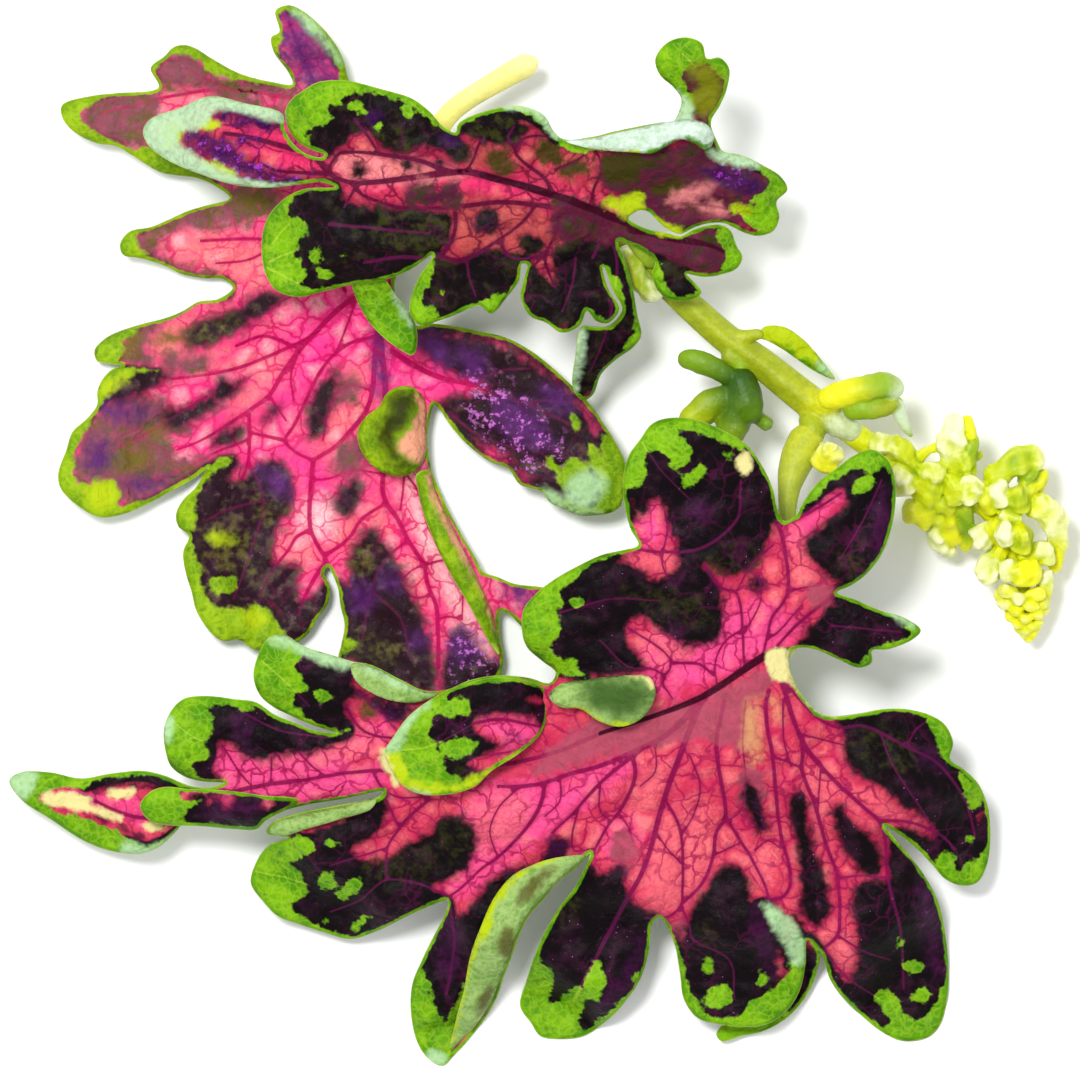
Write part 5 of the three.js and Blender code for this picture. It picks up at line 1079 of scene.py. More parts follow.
class Finish(Tree):
    """A material whose colour is laid on coat by coat."""

    def __init__(self, name, colours=None):
        self.material = bpy.data.materials.new(name)
        self.material.use_nodes = True
        super().__init__(self.material.node_tree)
        self.tree.nodes.clear()
        self.colours = colours or {}

    def place(self):
        """Where a point lies, in millimetres."""
        where = self.node("ShaderNodeTexCoord", {}, {}, "Object")
        return self.node("ShaderNodeVectorMath", {"operation": "SCALE"}, {0: where, "Scale": 1 / METRES})

    def field(self, name):
        return self.node("ShaderNodeAttribute", {"attribute_name": name}, {}, "Fac")

    def ramp(self, value, low, high):
        """0 below low, 1 above high, and a smooth rise between."""
        smoothstep = {"interpolation_type": "SMOOTHSTEP"}
        return self.node("ShaderNodeMapRange", smoothstep, {0: value, 1: low, 2: high, 3: 0.0, 4: 1.0})

    def noise(self, place, size, detail=2.0):
        """Cloudy noise round 0 whose lumps are about size across."""
        cloud = self.node("ShaderNodeTexNoise", {}, {"Vector": place, "Scale": 1 / size, "Detail": detail})
        return cloud - 0.5

    def cells(self, place, size):
        """Cells about size across: the distance to their edges, and a number of each cell's own."""
        where = {"Vector": place, "Scale": 1 / size}
        edge = self.node("ShaderNodeTexVoronoi", {"feature": "DISTANCE_TO_EDGE"}, where)
        colour = self.node("ShaderNodeTexVoronoi", {"feature": "F1"}, where, "Color")
        return edge, self.node("ShaderNodeSeparateColor", {}, {0: colour})

    def tone(self, colour):
        """A colour by its name, as a triple, or already mixed."""
        return colour if isinstance(colour, Value) else tint(self.colours.get(colour, colour))

    def mix(self, share, first, second):
        """One colour going over into another."""
        values = {0: share, 6: self.tone(first), 7: self.tone(second)}
        return self.node("ShaderNodeMix", {"data_type": "RGBA"}, values, 2)

    def coats(self, colour, *coats):
        """A colour with coats laid over it, each a share and a colour."""
        for share, coat in coats:
            colour = self.mix(share, colour, coat)
        return colour

    def surface(self, colour, roughness, relief, depth, gloss):
        """The finish's skin: its colour, roughness and low relief, whose depth is in millimetres."""
        raised = {"Strength": 1.0, "Distance": depth * METRES, "Height": relief}
        bump = self.node("ShaderNodeBump", {}, raised, "Normal")
        sockets = {"Base Color": colour, "Roughness": roughness, "Normal": bump, "Specular IOR Level": gloss}
        skin = self.node("ShaderNodeBsdfPrincipled", {}, sockets)
        self.node("ShaderNodeOutputMaterial", {}, {"Surface": skin})
        return self.material


def tint(colour):
    """A colour given in 0 to 255 as eyes judge it, as light adds it."""
    shares = [part / 255 for part in colour]
    return (*[s / 12.92 if s <= 0.04045 else ((s + 0.055) / 1.055) ** 2.4 for s in shares], 1.0)


LEAF_COLOURS = {
    "lamina": (210, 68, 86), "low_cell": (190, 38, 78), "high_cell": (240, 128, 126), "hot": (246, 80, 146),
    "peach": (233, 107, 116), "sand": (198, 144, 93), "net": (139, 11, 67), "vein": (121, 2, 64),
    "rib": (56, 0, 23), "dusk": (161, 67, 88), "maroon": (80, 7, 38), "olive": (77, 64, 23),
    "violet": (64, 12, 60), "night": (9, 3, 6), "wine": (38, 8, 32), "moss": (38, 40, 8),
    "night_vein": (94, 10, 68), "speck": (92, 22, 80), "spark": (206, 130, 214), "leafy": (69, 128, 5),
    "sunny": (114, 166, 9), "shaded": (35, 93, 6), "green_vein": (160, 192, 53), "sage": (51, 82, 29),
    "lime": (167, 187, 17), "mint": (160, 196, 144), "cream": (209, 200, 134), "rim": (180, 200, 82),
    "under": (102, 140, 58), "under_pale": (144, 176, 98), "under_net": (167, 189, 120),
    "under_dark": (38, 46, 26), "smoulder": (88, 7, 44),
}
LEAF_NOISES = {  # the size of each one's lumps, in millimetres, and its detail
    "cloud": (2.8, 3.0), "drift": (5.5, 2.0), "blot": (1.1, 2.0), "grain": (0.5, 3.0), "speck": (0.2, 1.0),
}
TOP_PATCHES = {  # how far the edge of each kind of patch wanders, and how soft it is, in millimetres
    "dark": (1.4, 0.3), "dusk": (2.2, 0.4), "maroon": (1.2, 0.2), "olive": (1.6, 0.4), "hot": (4, 0.9),
    "peach": (4, 0.9), "sand": (2, 0.6), "violet": (2, 0.6), "spark": (3, 0.6), "green": (1.4, 0.1),
    "sage": (1.6, 0.6), "lime": (1.5, 0.3), "mint": (0.9, 0.3), "cream": (1.1, 0.18),
}
BACK_PATCHES = (  # the same on the back, with how much of it shows there and its colour
    ("olive", 1.2, 0.3, 0.8, "olive"), ("dark", 1.2, 0.3, 1, "under_dark"), ("sage", 1.6, 0.9, 0.92, "sage"),
    ("green", 1.2, 0.2, 1, "leafy"), ("lime", 1.2, 0.25, 1, "lime"), ("mint", 1.5, 0.35, 0.9, "mint"),
    ("cream", 1.1, 0.18, 1, "cream"),
)
DARK_HALO = 0.6  # how soft the glow round a dark patch is
HALO_REACH = 0.4  # and how much further out it lies
MOSS = (3, 0.6)  # how far the moss in it wanders, and how soft it is
MOSS_LITTLE = 0.12  # how much moss a leaf shows
MOSS_MUCH = 0.55  # and a leaf with a moss of its own
WARP_SCALE = 0.7  # the uneven pull on the net of veins, in waves to a millimetre
WARP_REACH = 1.5  # and its reach
CELL = 2.3  # across the cells between the small veins
FINE_CELL = 0.85  # and between the finest
DOT_SCALE = 1.5  # bright dots to a millimetre


def leaf_finish(name, softness=1.5, bloom=0.45, swell=0.0, **own):
    """A leaf's finish: coral between magenta veins, near-black patches and green margins."""
    finish = Finish(name, {**LEAF_COLOURS, **own})
    ramp, field = finish.ramp, finish.field
    place = finish.place()
    cloud, drift, blot, grain, speck = (finish.noise(place, *lumps) for lumps in LEAF_NOISES.values())
    warp = finish.node("ShaderNodeTexNoise", {}, {"Vector": place, "Scale": WARP_SCALE, "Detail": 2.0}, 1)
    bend = {0: warp, 1: (WARP_REACH,) * 3, 2: place}
    warped = finish.node("ShaderNodeVectorMath", {"operation": "MULTIPLY_ADD"}, bend)
    edge, own_share = finish.cells(warped, CELL)
    fine_edge, fine_share = finish.cells(warped, FINE_CELL)
    dots = finish.node("ShaderNodeTexVoronoi", {"feature": "F1"}, {"Vector": place, "Scale": DOT_SCALE})
    # The net of small veins and the finest ones, the cells' domes, which raise the relief and carry a
    # painted highlight, and the drawn veins with their glow.
    net = 1 - ramp(edge, 0.02, 0.075)
    fine_net = 1 - ramp(fine_edge, 0.02, 0.16)
    dome = ramp(edge, 0.03, 0.4)
    margin, gap, under = field("margin"), field("vein"), field("under")
    body = 1 - ramp(gap - swell, -0.09, 0.05)
    halo = 1 - ramp(gap, 0.0, 0.5)
    rib = 1 - ramp(field("rib"), -0.12, 0.04)

    def patch(kind, more=0.0, edge=None):
        """Where patches of a kind lie, let out by more."""
        wander, soft = edge or TOP_PATCHES[kind]
        crumbs = wander * (0.3 * grain + 0.12 * fine_share - 0.06) * (1 / softness)
        return ramp(field(kind) + wander * blot + crumbs + more, -soft * softness, soft * softness)

    # A dark patch runs on to the margin and to the green and mint patches beside it.
    beside = 0.75 * (1 - ramp(margin, 0.3, 1.3)) + 0.9 * ramp(field("green"), -0.9, -0.1)
    beside = beside + 1.2 * ramp(field("mint"), -1.2, -0.2)
    dark = patch("dark", beside)
    near_dark = patch("dark", beside + HALO_REACH, (TOP_PATCHES["dark"][0], DARK_HALO))
    shade = patch("dusk", 0.6)
    sand = patch("sand")
    mossy = MOSS_MUCH if "moss" in own else MOSS_LITTLE
    tufts = ramp(fine_share + blot, 0.3, 0.9) * ramp(cloud, -0.15, 0.1)
    dusky = finish.mix(tufts * mossy * 1.6, "dusk", "moss")
    lamina = finish.coats(
        finish.mix(ramp(cloud, -0.2, 0.2), "low_cell", "lamina"),
        (patch("hot") * 0.85, "hot"),
        (patch("peach") * 0.7, "peach"),
        (sand * 0.85, "sand"),
        # Lighter cell middles: partly the blade's own lighter tone, partly a painted highlight on the domed
        # cells.
        (dome * ramp(own_share + blot, 0.25, 0.9) * 0.62, "high_cell"),
        (ramp(grain + speck * 0.7 + blot * 0.4, -0.02, 0.4) * 0.42, "net"),
        (net * ramp(drift, -0.24, 0.06) * 0.8, "net"),
        (fine_net * ramp(cloud, -0.2, 0.2) * 0.36, "net"),
        (shade * (0.96 + blot * 0.4), dusky),
        (patch("olive", 0.1) * (0.95 + grain * 0.5), "olive"),
        (sand * shade * 0.8, "sand"),
        (patch("maroon") * 0.9, "maroon"),
        (near_dark * 0.6, "smoulder"),
        (halo * (0.3 - 0.3 * shade), "vein"),
        (body * (0.95 - 0.55 * shade), "vein"),
        (rib, "rib"),
    )
    moss = patch("olive", edge=MOSS) * ramp(grain + blot, -0.2, 0.3) * 0.85
    moss = moss + mossy * ramp(blot + cloud, 0.0, 0.3)
    night = finish.coats(
        finish.mix(ramp(cloud + blot * 0.5, -0.05, 0.3), "night", "wine"),
        (moss, "moss"),
        (body * 0.6 + net * ramp(drift, -0.1, 0.2) * 0.3, "night_vein"),
        (ramp(speck + blot * 0.5, 0.14, 0.36) * 0.4, "speck"),
        ((1 - ramp(dots, 0.05, 0.09)) * ramp(cloud, 0.02, 0.14) * 0.8, "spark"),
    )
    leafy = finish.coats(
        finish.mix(ramp(cloud + grain * 0.5, -0.22, 0.2), "leafy", "sunny"),
        (ramp(blot + grain * 0.6, 0.04, 0.3) * 0.6, "shaded"),
        (fine_net * 0.26 + body * 0.45, "green_vein"),
    )
    edging = finish.mix(ramp(cloud, -0.2, 0.2), "leafy", "sunny")
    glint = ramp(grain + speck * 0.4 + blot * 0.6 + fine_share * 0.14, 0.12, 0.32)
    top = finish.coats(
        lamina,
        (dark, night),
        (patch("violet") * (bloom + blot * 0.6 + grain * (1.3 - bloom)), "violet"),
        (patch("spark") * glint * 0.8, "spark"),
        (patch("green"), leafy),
        (patch("sage"), "sage"),
        (1 - ramp(margin + 0.5 * blot + 0.3 * cloud, 0.24, 0.42), edging),
        (patch("lime"), "lime"),
        (patch("mint") * (0.9 + grain), "mint"),
        (patch("cream"), "cream"),
        ((1 - ramp(margin, 0.03, 0.13)) * 0.5, "rim"),
    )
    back = finish.coats(
        finish.mix(ramp(cloud + grain * 0.8, -0.25, 0.25), "under", "under_pale"),
        (fine_net * 0.3, "under_net"),
        *((patch(kind, edge=edge) * most, colour) for kind, *edge, most, colour in BACK_PATCHES),
    )
    relief = dome * 0.8 + grain * 0.8
    flatter = 1 - ramp(field("dark"), -0.2, 0.2) * 0.45
    shown = finish.mix(ramp(under, 0.4, 0.6), top, back)
    return finish.surface(shown, 0.52 + grain * 0.25, relief * flatter, depth=0.2, gloss=0.07)


SAP_SHADE = 0.93  # how dark the darker parts of a stalk are to the rest
SAP_WANDER = 0.35  # how far its tones wander
TONES = {"yellow": 1, "green": 1, "deep": 1, "mint": 1, "pale": 0.9}  # each with its strength


def sap_finish(name, base, **own):
    """The finish of stalks, buds and bracts: lime, going over to yellow, green and near-white."""
    colours = {
        "yellow": (220, 218, 23), "green": (129, 166, 8), "deep": (40, 77, 10), "pale": (231, 233, 192),
        "mint": (199, 218, 181), "shade": tuple(part * SAP_SHADE for part in base), "base": base, **own,
    }
    finish = Finish(name, colours)
    place = finish.place()
    cloud = finish.noise(place, size=1.5, detail=2.0)
    grain = finish.noise(place, size=0.4, detail=3.0)

    def patch(tone):
        wander = cloud * SAP_WANDER + grain * SAP_WANDER
        return finish.ramp(finish.field(tone) + wander, 0.02, 0.98)

    colour = finish.coats(
        finish.mix(finish.ramp(cloud + grain * 0.5, -0.25, 0.2), "shade", "base"),
        *((patch(tone) * most, tone) for tone, most in TONES.items()),
    )
    return finish.surface(colour, 0.46 + grain * 0.2, grain + cloud * 0.6, depth=0.08, gloss=0.3)


# ------------------------------------------------------------------------------- stalks and buds


def spread(values, count):
    """Values spread evenly along a run of places."""
    values = np.atleast_1d(np.array(values, float))
    return np.interp(np.linspace(0, 1, count), np.linspace(0, 1, len(values)), values)


def stalk_tree():
    """A tube along lines, as wide as each place's radius, with slightly square corners."""
    group = bpy.data.node_groups.new("stalk", "GeometryNodeTree")
    inputs = {"Lines": "Geometry", "Sides": "Int", "Squareness": "Float", "Finish": "Material"}
    for name, kind in inputs.items():
        group.interface.new_socket(name, in_out="INPUT", socket_type=f"NodeSocket{kind}")
    group.interface.new_socket("Tube", in_out="OUTPUT", socket_type="NodeSocketGeometry")
    node = Tree(group).node
    lines, sides, squareness, finish = (node("NodeGroupInput", {}, {}, name) for name in inputs)
    ring = node("GeometryNodeCurvePrimitiveCircle", {}, {"Resolution": sides, "Radius": 1.0})
    where = node("GeometryNodeInputPosition", {}, {})
    x, y = (node("ShaderNodeSeparateXYZ", {}, {0: where}, axis) for axis in "XY")
    angle = node("ShaderNodeMath", {"operation": "ARCTAN2"}, {0: y, 1: x})
    swing = node("ShaderNodeMath", {"operation": "COSINE"}, {0: angle * CORNERS})
    offset = node("ShaderNodeVectorMath", {"operation": "SCALE"}, {0: where, "Scale": swing * squareness})
    corners = node("GeometryNodeSetPosition", {}, {"Geometry": ring, "Offset": offset})
    curve = node("GeometryNodeMeshToCurve", {}, {"Mesh": lines})
    radius = node("GeometryNodeInputNamedAttribute", {"data_type": "FLOAT"}, {"Name": "radius"})
    sweep = {"Curve": curve, "Profile Curve": corners, "Scale": radius, "Fill Caps": True}
    tube = node("GeometryNodeCurveToMesh", {}, sweep)
    solid = node("GeometryNodeRealizeInstances", {}, {"Geometry": tube})
    done = node("GeometryNodeSetMaterial", {}, {"Geometry": solid, "Material": finish})
    node("NodeGroupOutput", {}, {"Tube": done})
    return group


def plain(made):
    """The plain mesh that an object's modifiers make, with the object itself taken away."""
    graph = bpy.context.evaluated_depsgraph_get()
    mesh = bpy.data.meshes.new_from_object(made.evaluated_get(graph), depsgraph=graph)
    made.modifiers.clear()
    bpy.data.objects.remove(made)
    return mesh


def read(mesh, names):
    """A mesh's points in millimetres, its triangles and its fields."""
    points = np.empty(len(mesh.vertices) * 3)
    mesh.vertices.foreach_get("co", points)
    mesh.calc_loop_triangles()
    faces = np.empty(len(mesh.loop_triangles) * 3, int)
    mesh.loop_triangles.foreach_get("vertices", faces)
    fields = {name: np.zeros(len(mesh.vertices)) for name in names}
    for name in names:
        if name in mesh.attributes:
            mesh.attributes[name].data.foreach_get("value", fields[name])
    return points.reshape(-1, 3) / METRES, faces.reshape(-1, 3), fields


def stalk(path, widths, tones, finish, sides=14, squareness=0.0):
    """A stalk that follows a path of places and heights, with its radii and tones along it."""
    run, _ = smooth(path, STALK_STEP, False)
    count = len(run)
    width = spread(widths, count)
    reach = np.linspace(0, 1, count) * np.linalg.norm(np.diff(run, axis=0), axis=1).sum()
    for end in (reach, reach[-1] - reach):
        rounding = np.clip(end / width.max(), 0, 1) * (1 - BLUNT) + BLUNT
        width = np.minimum(width, width.max() * np.sqrt(rounding))
    fields = {"radius": width * METRES, **{tone: spread(tones.get(tone, 0), count) for tone in TONES}}
    links = [(i, i + 1) for i in range(count - 1)]
    made = show("stalk", mesh_of("line", run, np.empty((0, 3), int), fields, links))
    modifier = made.modifiers.new("stalk", "NODES")
    modifier.node_group = STALK
    settings = {"Sides": sides, "Squareness": squareness, "Finish": finish}
    for item in STALK.interface.items_tree:
        if item.in_out == "INPUT" and item.name in settings:
            modifier[item.identifier] = settings[item.name]
    return read(plain(made), TONES)


def bud(path, radii, tones, sides=18, ridges=3, ridge=0.08, flat=1.0, lumps=0.05, seed=0):
    """A closed bud or bract along a path: ridged round its axis, flattened, and a little crumpled."""
    run, _ = smooth(drawn_path(path), BUD_STEP, False)
    amount = len(run)
    width = spread(radii, amount)
    width *= np.sqrt(np.clip(1 - np.linspace(-1, 1, amount) ** BUD_ENDS, BUD_POINT, 1))
    forward = np.gradient(run, axis=0)
    forward /= np.linalg.norm(forward, axis=1)[:, None]
    side = np.cross([0, 0, 1.0], forward)
    side /= np.linalg.norm(side, axis=1)[:, None] + SMALL
    up = np.cross(forward, side)
    angle = np.linspace(0, 2 * math.pi, sides, endpoint=False)
    twist = np.linspace(0, BUD_TWIST, amount)[:, None] + seed
    swell = width[:, None] * (1 + ridge * np.cos(ridges * angle + twist))
    points = (
        run[:, None]
        + side[:, None] * (np.cos(angle) * swell)[..., None]
        + up[:, None] * (np.sin(angle) * swell * flat)[..., None]
    ).reshape(-1, 3)
    points = np.vstack([points, run[:1], run[-1:]])
    middle = np.vstack([np.repeat(run, sides, 0), run[:1], run[-1:]])
    points += (points - middle) * lumps * ripple(points, BUD_LUMPS, seed + BUD_SEEDS)[:, None]
    faces = []
    for k in range(sides):
        after = (k + 1) % sides
        last = (amount - 1) * sides
        faces += [(amount * sides, after, k), (amount * sides + 1, last + k, last + after)]
        for i in range(amount - 1):
            a, b = i * sides + k, i * sides + after
            faces += [(a, b, b + sides), (a, b + sides, a + sides)]
    fields = {}
    for tone in TONES:
        along = np.repeat(spread(tones.get(tone, 0), amount), sides)
        fields[tone] = np.concatenate([along, along[:1], along[-1:]])
    points[:, 2] = np.maximum(points[:, 2], FLOOR_GAP)
    return points, np.array(faces), fields


def grow_together(name, node, slot, shapes, finish, grain=0.16, rounds=3, crest_light=0.0):
    """Shapes grown into one skin, which keeps their tones and, where asked, has a painted highlight on its
    crests and painted shade, greener, in its grooves.
    """
    points, faces, fields = whole(shapes)
    made = show(name, mesh_of(name, points, faces, {}))
    skin = made.modifiers.new("skin", "REMESH")
    skin.mode = "VOXEL"
    skin.voxel_size = grain * METRES
    even = made.modifiers.new("even", "SMOOTH")
    even.factor = EVENING
    even.iterations = rounds
    mesh = plain(made)
    skin_points, _, _ = read(mesh, ())
    tree = KDTree(len(points))
    for i, point in enumerate(points):
        tree.insert(point, i)
    tree.balance()
    near = [tree.find_n(point, SKIN_NEAR) for point in skin_points]
    index = np.array([[hit[1] for hit in hits] for hits in near])
    weight = 1 / (np.array([[hit[2] for hit in hits] for hits in near]) + SKIN_BLEND)
    weight /= weight.sum(1)[:, None]
    tones = {tone: (values[index] * weight).sum(1) for tone, values in fields.items()}
    if crest_light:
        pairs = np.empty(len(mesh.edges) * 2, int)
        mesh.edges.foreach_get("vertices", pairs)
        a, b = pairs.reshape(-1, 2).T
        share = np.bincount(np.concatenate([a, b]), minlength=len(skin_points))[:, None]
        blurred = skin_points
        for _ in range(CREST_ROUNDS):
            total = np.column_stack([
                np.bincount(a, blurred[b, k], len(blurred)) + np.bincount(b, blurred[a, k], len(blurred))
                for k in range(3)
            ])
            blurred = total / share
        normals = np.empty(len(skin_points) * 3)
        mesh.vertices.foreach_get("normal", normals)
        # Painted light: what stands out of the smoothed skin is a crest and gets a painted highlight, what
        # sinks into it is a groove and gets painted shade, greener.
        highlight_and_shade = ((skin_points - blurred) * normals.reshape(-1, 3)).sum(1) * crest_light
        pale = tones["pale"] * PALE_SHARE + np.clip(highlight_and_shade, *CREST_HIGHLIGHT)
        tones["pale"] = np.clip(pale, 0, PALE_MOST) ** PALE_CURVE
        tones["green"] = tones["green"] - np.clip(highlight_and_shade, *GROOVE_SHADE)
    carry(mesh, tones)
    claim(name, mesh, node, slot, finish)


# ------------------------------------------------------------------------------- the sprig

STALK = stalk_tree()
stem_green = sap_finish("stem_green", (152, 166, 22))
petiole_lime = sap_finish("petiole_lime", (155, 171, 55))
stalk_pale = sap_finish("stalk_pale", (250, 240, 158), yellow=(244, 232, 104))
bud_lime = sap_finish(
    "bud_lime", (197, 208, 5), green=(122, 158, 0), yellow=(224, 222, 0), pale=(240, 240, 194),
)
shoot_green = sap_finish("shoot_green", (99, 138, 7), yellow=(173, 188, 12), deep=(30, 73, 3))
wine = leaf_finish("wine_leaf")
coral = leaf_finish(
    "coral_leaf", softness=1.3, bloom=0.92, swell=0.04,
    lamina=(196, 55, 80), low_cell=(153, 24, 57), high_cell=(220, 119, 107), hot=(224, 44, 104),
    peach=(174, 79, 68), sand=(228, 132, 132), net=(84, 4, 38), vein=(80, 0, 40), rib=(53, 0, 23),
    dusk=(75, 25, 48), olive=(54, 50, 10), violet=(50, 6, 66), night=(12, 5, 7), wine=(26, 7, 23),
    moss=(43, 47, 7), spark=(160, 50, 170), sage=(110, 112, 14), mint=(168, 198, 158),
    under=(163, 189, 163), under_pale=(200, 216, 203), under_net=(207, 220, 207),
)
pink = leaf_finish(
    "pink_leaf", softness=2.2, bloom=0.85, swell=0.03,
    lamina=(246, 102, 138), low_cell=(236, 52, 122), high_cell=(255, 184, 190), hot=(250, 54, 144),
    peach=(248, 136, 122), sand=(255, 200, 200), net=(196, 10, 90), vein=(167, 0, 76), rib=(157, 0, 71),
    dusk=(122, 68, 78), olive=(103, 90, 32), violet=(84, 34, 98), night=(36, 18, 25), wine=(58, 25, 60),
    moss=(86, 81, 32), night_vein=(95, 16, 60), speck=(110, 62, 118), spark=(206, 112, 206),
    smoulder=(129, 23, 66), leafy=(95, 136, 8), sunny=(140, 173, 14), shaded=(68, 103, 8),
    sage=(47, 53, 8), cream=(224, 153, 122),
)

top_sheets, top_height = leaf_sheets(LEAF_TOP, TOP_MARKS, TOP_VEINS, seed=3)
left_sheets, left_height = leaf_sheets(LEAF_LEFT, LEFT_MARKS, LEFT_VEINS, seed=5)
bottom_sheets, bottom_height = leaf_sheets(LEAF_BOTTOM, BOTTOM_MARKS, BOTTOM_VEINS, seed=7)
young_sheets, _ = leaf_sheets(YOUNG_LEAF, YOUNG_MARKS, YOUNG_VEINS, seed=9)
for name, node, slot, sheets, finish in (
    ("top_leaf", "leaf_top", "dark_leaf", top_sheets, coral),
    ("left_leaf", "leaf_left", "pink_leaf", left_sheets, pink),
    ("bottom_leaf", "leaf_bottom", "wine_leaf", bottom_sheets, wine),
    ("young_leaf", "axil_leaf", "green_stem", young_sheets, wine),
):
    claim(name, mesh_of(name, *whole(sheets)), node, slot, finish)


def petiole(name, node, slot, height_at, path, widths, rib, rib_widths, tones):
    """A leaf's stalk, going over into the midrib along the underside of its blade."""
    line, _ = smooth(drawn(rib), RIB_STEP, False)
    depth = spread(rib_widths, len(line)) + BLADE_HALF + RIB_DROP
    under = np.column_stack([line, np.maximum(height_at(line) - depth, depth)])
    run = np.vstack([drawn_path(path), under])
    shape = stalk(run, [*widths, *spread(rib_widths, len(line))], tones, petiole_lime)
    claim(name, mesh_of(name, *shape), node, slot, petiole_lime)


petiole(
    "top_petiole", "leaf_top", "dark_leaf", top_height,
    [656, 266, 11, 646, 253, 12.2, 634, 239, 13.2], [1.15, 1.1, 1],
    [622, 229, 574, 204, 520, 186, 448, 174, 396, 178], [0.8, 0.45], {"green": [0.6, 0]},
)
petiole(
    "left_petiole", "leaf_left", "pink_leaf", left_height,
    [416, 183, 8.3, 413, 202, 6.6, 407, 224, 5.2], [1.2, 1.2, 1.15],
    [398, 246, 388, 280, 386, 320], [0.9, 0.5], {"green": [0.3, 0]},
)
petiole(
    "bottom_petiole", "leaf_bottom", "wine_leaf", bottom_height,
    [816, 424, 9.4, 803, 447, 10.2, 791, 478, 11.4, 787, 513, 12.4, 788, 580, 12.2, 790, 630, 12.4],
    [1.6, 1.8, 1.8, 1.5, 1.1, 0.9],
    [788, 650, 760, 658, 720, 685, 670, 707, 600, 735, 520, 760, 430, 770, 350, 773], [0.8, 0.4],
    {"yellow": [0.5, 0, 0, 0, 0], "green": [0, 0.3, 0.1, 0, 0], "pale": [0, 0, 0.5, 0, 0, 0, 0, 0]},
)


def buds(rows, **shape):
    """Buds from rows, each a path, its radii, its tones and, where it has one, a shape of its own."""
    return [bud(*row[:3], **{**shape, **dict(*row[3:])}) for row in rows]


# The main stem, with what swells at its joints and runs out into the young growth.
STEM_LINE = [
    374, 156, 9.6, 415, 166, 9.6, 480, 184, 9.4, 540, 203, 9.2, 600, 233, 9, 650, 269, 9, 692, 308, 9,
    726, 338, 9, 760, 362, 9, 790, 386, 9, 822, 411, 9, 838, 421, 9,
]
SWELLINGS = [
    [[722, 336, 9.2, 744, 337, 9.8, 764, 333, 10.4], [1.1, 0.75, 0.55], {"yellow": 0.2}],
    [[722, 352, 9, 738, 360, 9, 744, 374, 9.2], [1.2, 1.3, 0.9], {"green": [0.2, 0.9]}],
    [[806, 398, 9, 826, 402, 10, 846, 396, 11], [1.2, 1.3, 1.0], {"yellow": [0.4, 0.9]}],
    [[820, 412, 9, 840, 424, 9.3, 862, 436, 9], [1.5, 1.4, 1.1], {"pale": [0.1, 0.4, 0.2], "mint": 0.5}],
    [[812, 414, 9, 812, 432, 9.8, 806, 446, 10], [1.4, 1.4, 1.3], {"yellow": [0.3, 0.1], "green": 0.2}],
    [[416, 172, 9.4, 416, 184, 8.6], [1.3, 1.2], {}],
    [[428, 150, 9.4, 434, 140, 9.2], [1.15, 1.0], {"yellow": 0.5}],
    [[648, 268, 9.6, 656, 264, 11], [1.3, 1.15], {}],
]
stem_tones = {"yellow": [0, 0, 0, 0, 0, 0.2, 0.1, 0.6], "green": [0.4, 0, 0, 0.1, 0.2, 0.1, 0, 0]}
stem_radii = [1.6, 1.5, 1.4, 1.3, 1.45, 1.65]
stem = stalk(drawn_path(STEM_LINE), stem_radii, stem_tones, stem_green, sides=24, squareness=0.08)
grow_together("main_stem", "stem", "green_stem", [stem, *buds(SWELLINGS, ridge=0)], stem_green)

dropped = stalk(
    drawn_path([428, 149, 9.4, 450, 113, 8.6, 500, 79, 7.2, 537, 59, 6]), [1.1, 1.05, 1.05, 1.15, 1.3],
    {"yellow": [0.9, 0.6, 0.4, 0.5, 0.1], "pale": [0, 0.1, 0, 0.1, 0.2]}, stalk_pale,
    sides=16, squareness=0.04,
)
grow_together("dropped_petiole", "bare_petiole", "pale_stalk", [dropped], stalk_pale, rounds=1)

BUD_SCALES = [
    [[654, 303, 11.2, 643, 281, 11.5, 636, 263, 11.6, 621, 247, 11.7], [0.9, 1.1, 0.85, 0.9],
        {"pale": [0.7, 0.1, 0.1, 0.8], "green": [0, 0.4, 0.3, 0]}, {"lumps": 0.25}],
    [[656, 302, 11.3, 650, 290, 11.8, 644, 276, 11.7], [0.6, 0.7, 0.4],
        {"pale": [0.9, 0.5], "green": [0, 0.5]}, {"lumps": 0.3, "seed": 2}],
]
SHOOT = [
    [[748, 424, 9.4, 744, 398, 9.5, 736, 368, 9.6], [1.5, 2.0, 1.9, 1.4], {"deep": [0.2, 0.6, 0.9]}],
    [[736, 382, 10, 712, 367, 10.4, 690, 360, 10, 678, 362, 9.6], [1.0, 0.95, 1.15, 0.9],
        {"deep": [0.8, 0.3, 0], "green": [0, 0.5, 0.7]}, {"ridges": 2}],
    [[734, 396, 9.4, 712, 404, 9.2, 694, 420, 9, 684, 442, 9], [1.3, 1.5, 1.5, 1],
        {"deep": [0.6, 0.2, 0, 0.1], "yellow": [0, 0.4, 0.8, 0]}, {"ridges": 2, "seed": 1}],
    [[738, 402, 9.4, 734, 424, 9, 726, 452, 9], [1.7, 1.7, 1.1],
        {"deep": [0.7, 0.3, 0.1], "yellow": [0, 0.3, 0.4]}, {"seed": 2}],
    [[742, 406, 9, 757, 417, 8.6, 772, 428, 8.2], [0.95, 0.8, 0.75],
        {"green": [0.3, 0.5], "pale": [0.1, 0.25]}, {"ridges": 2, "seed": 3}],
]
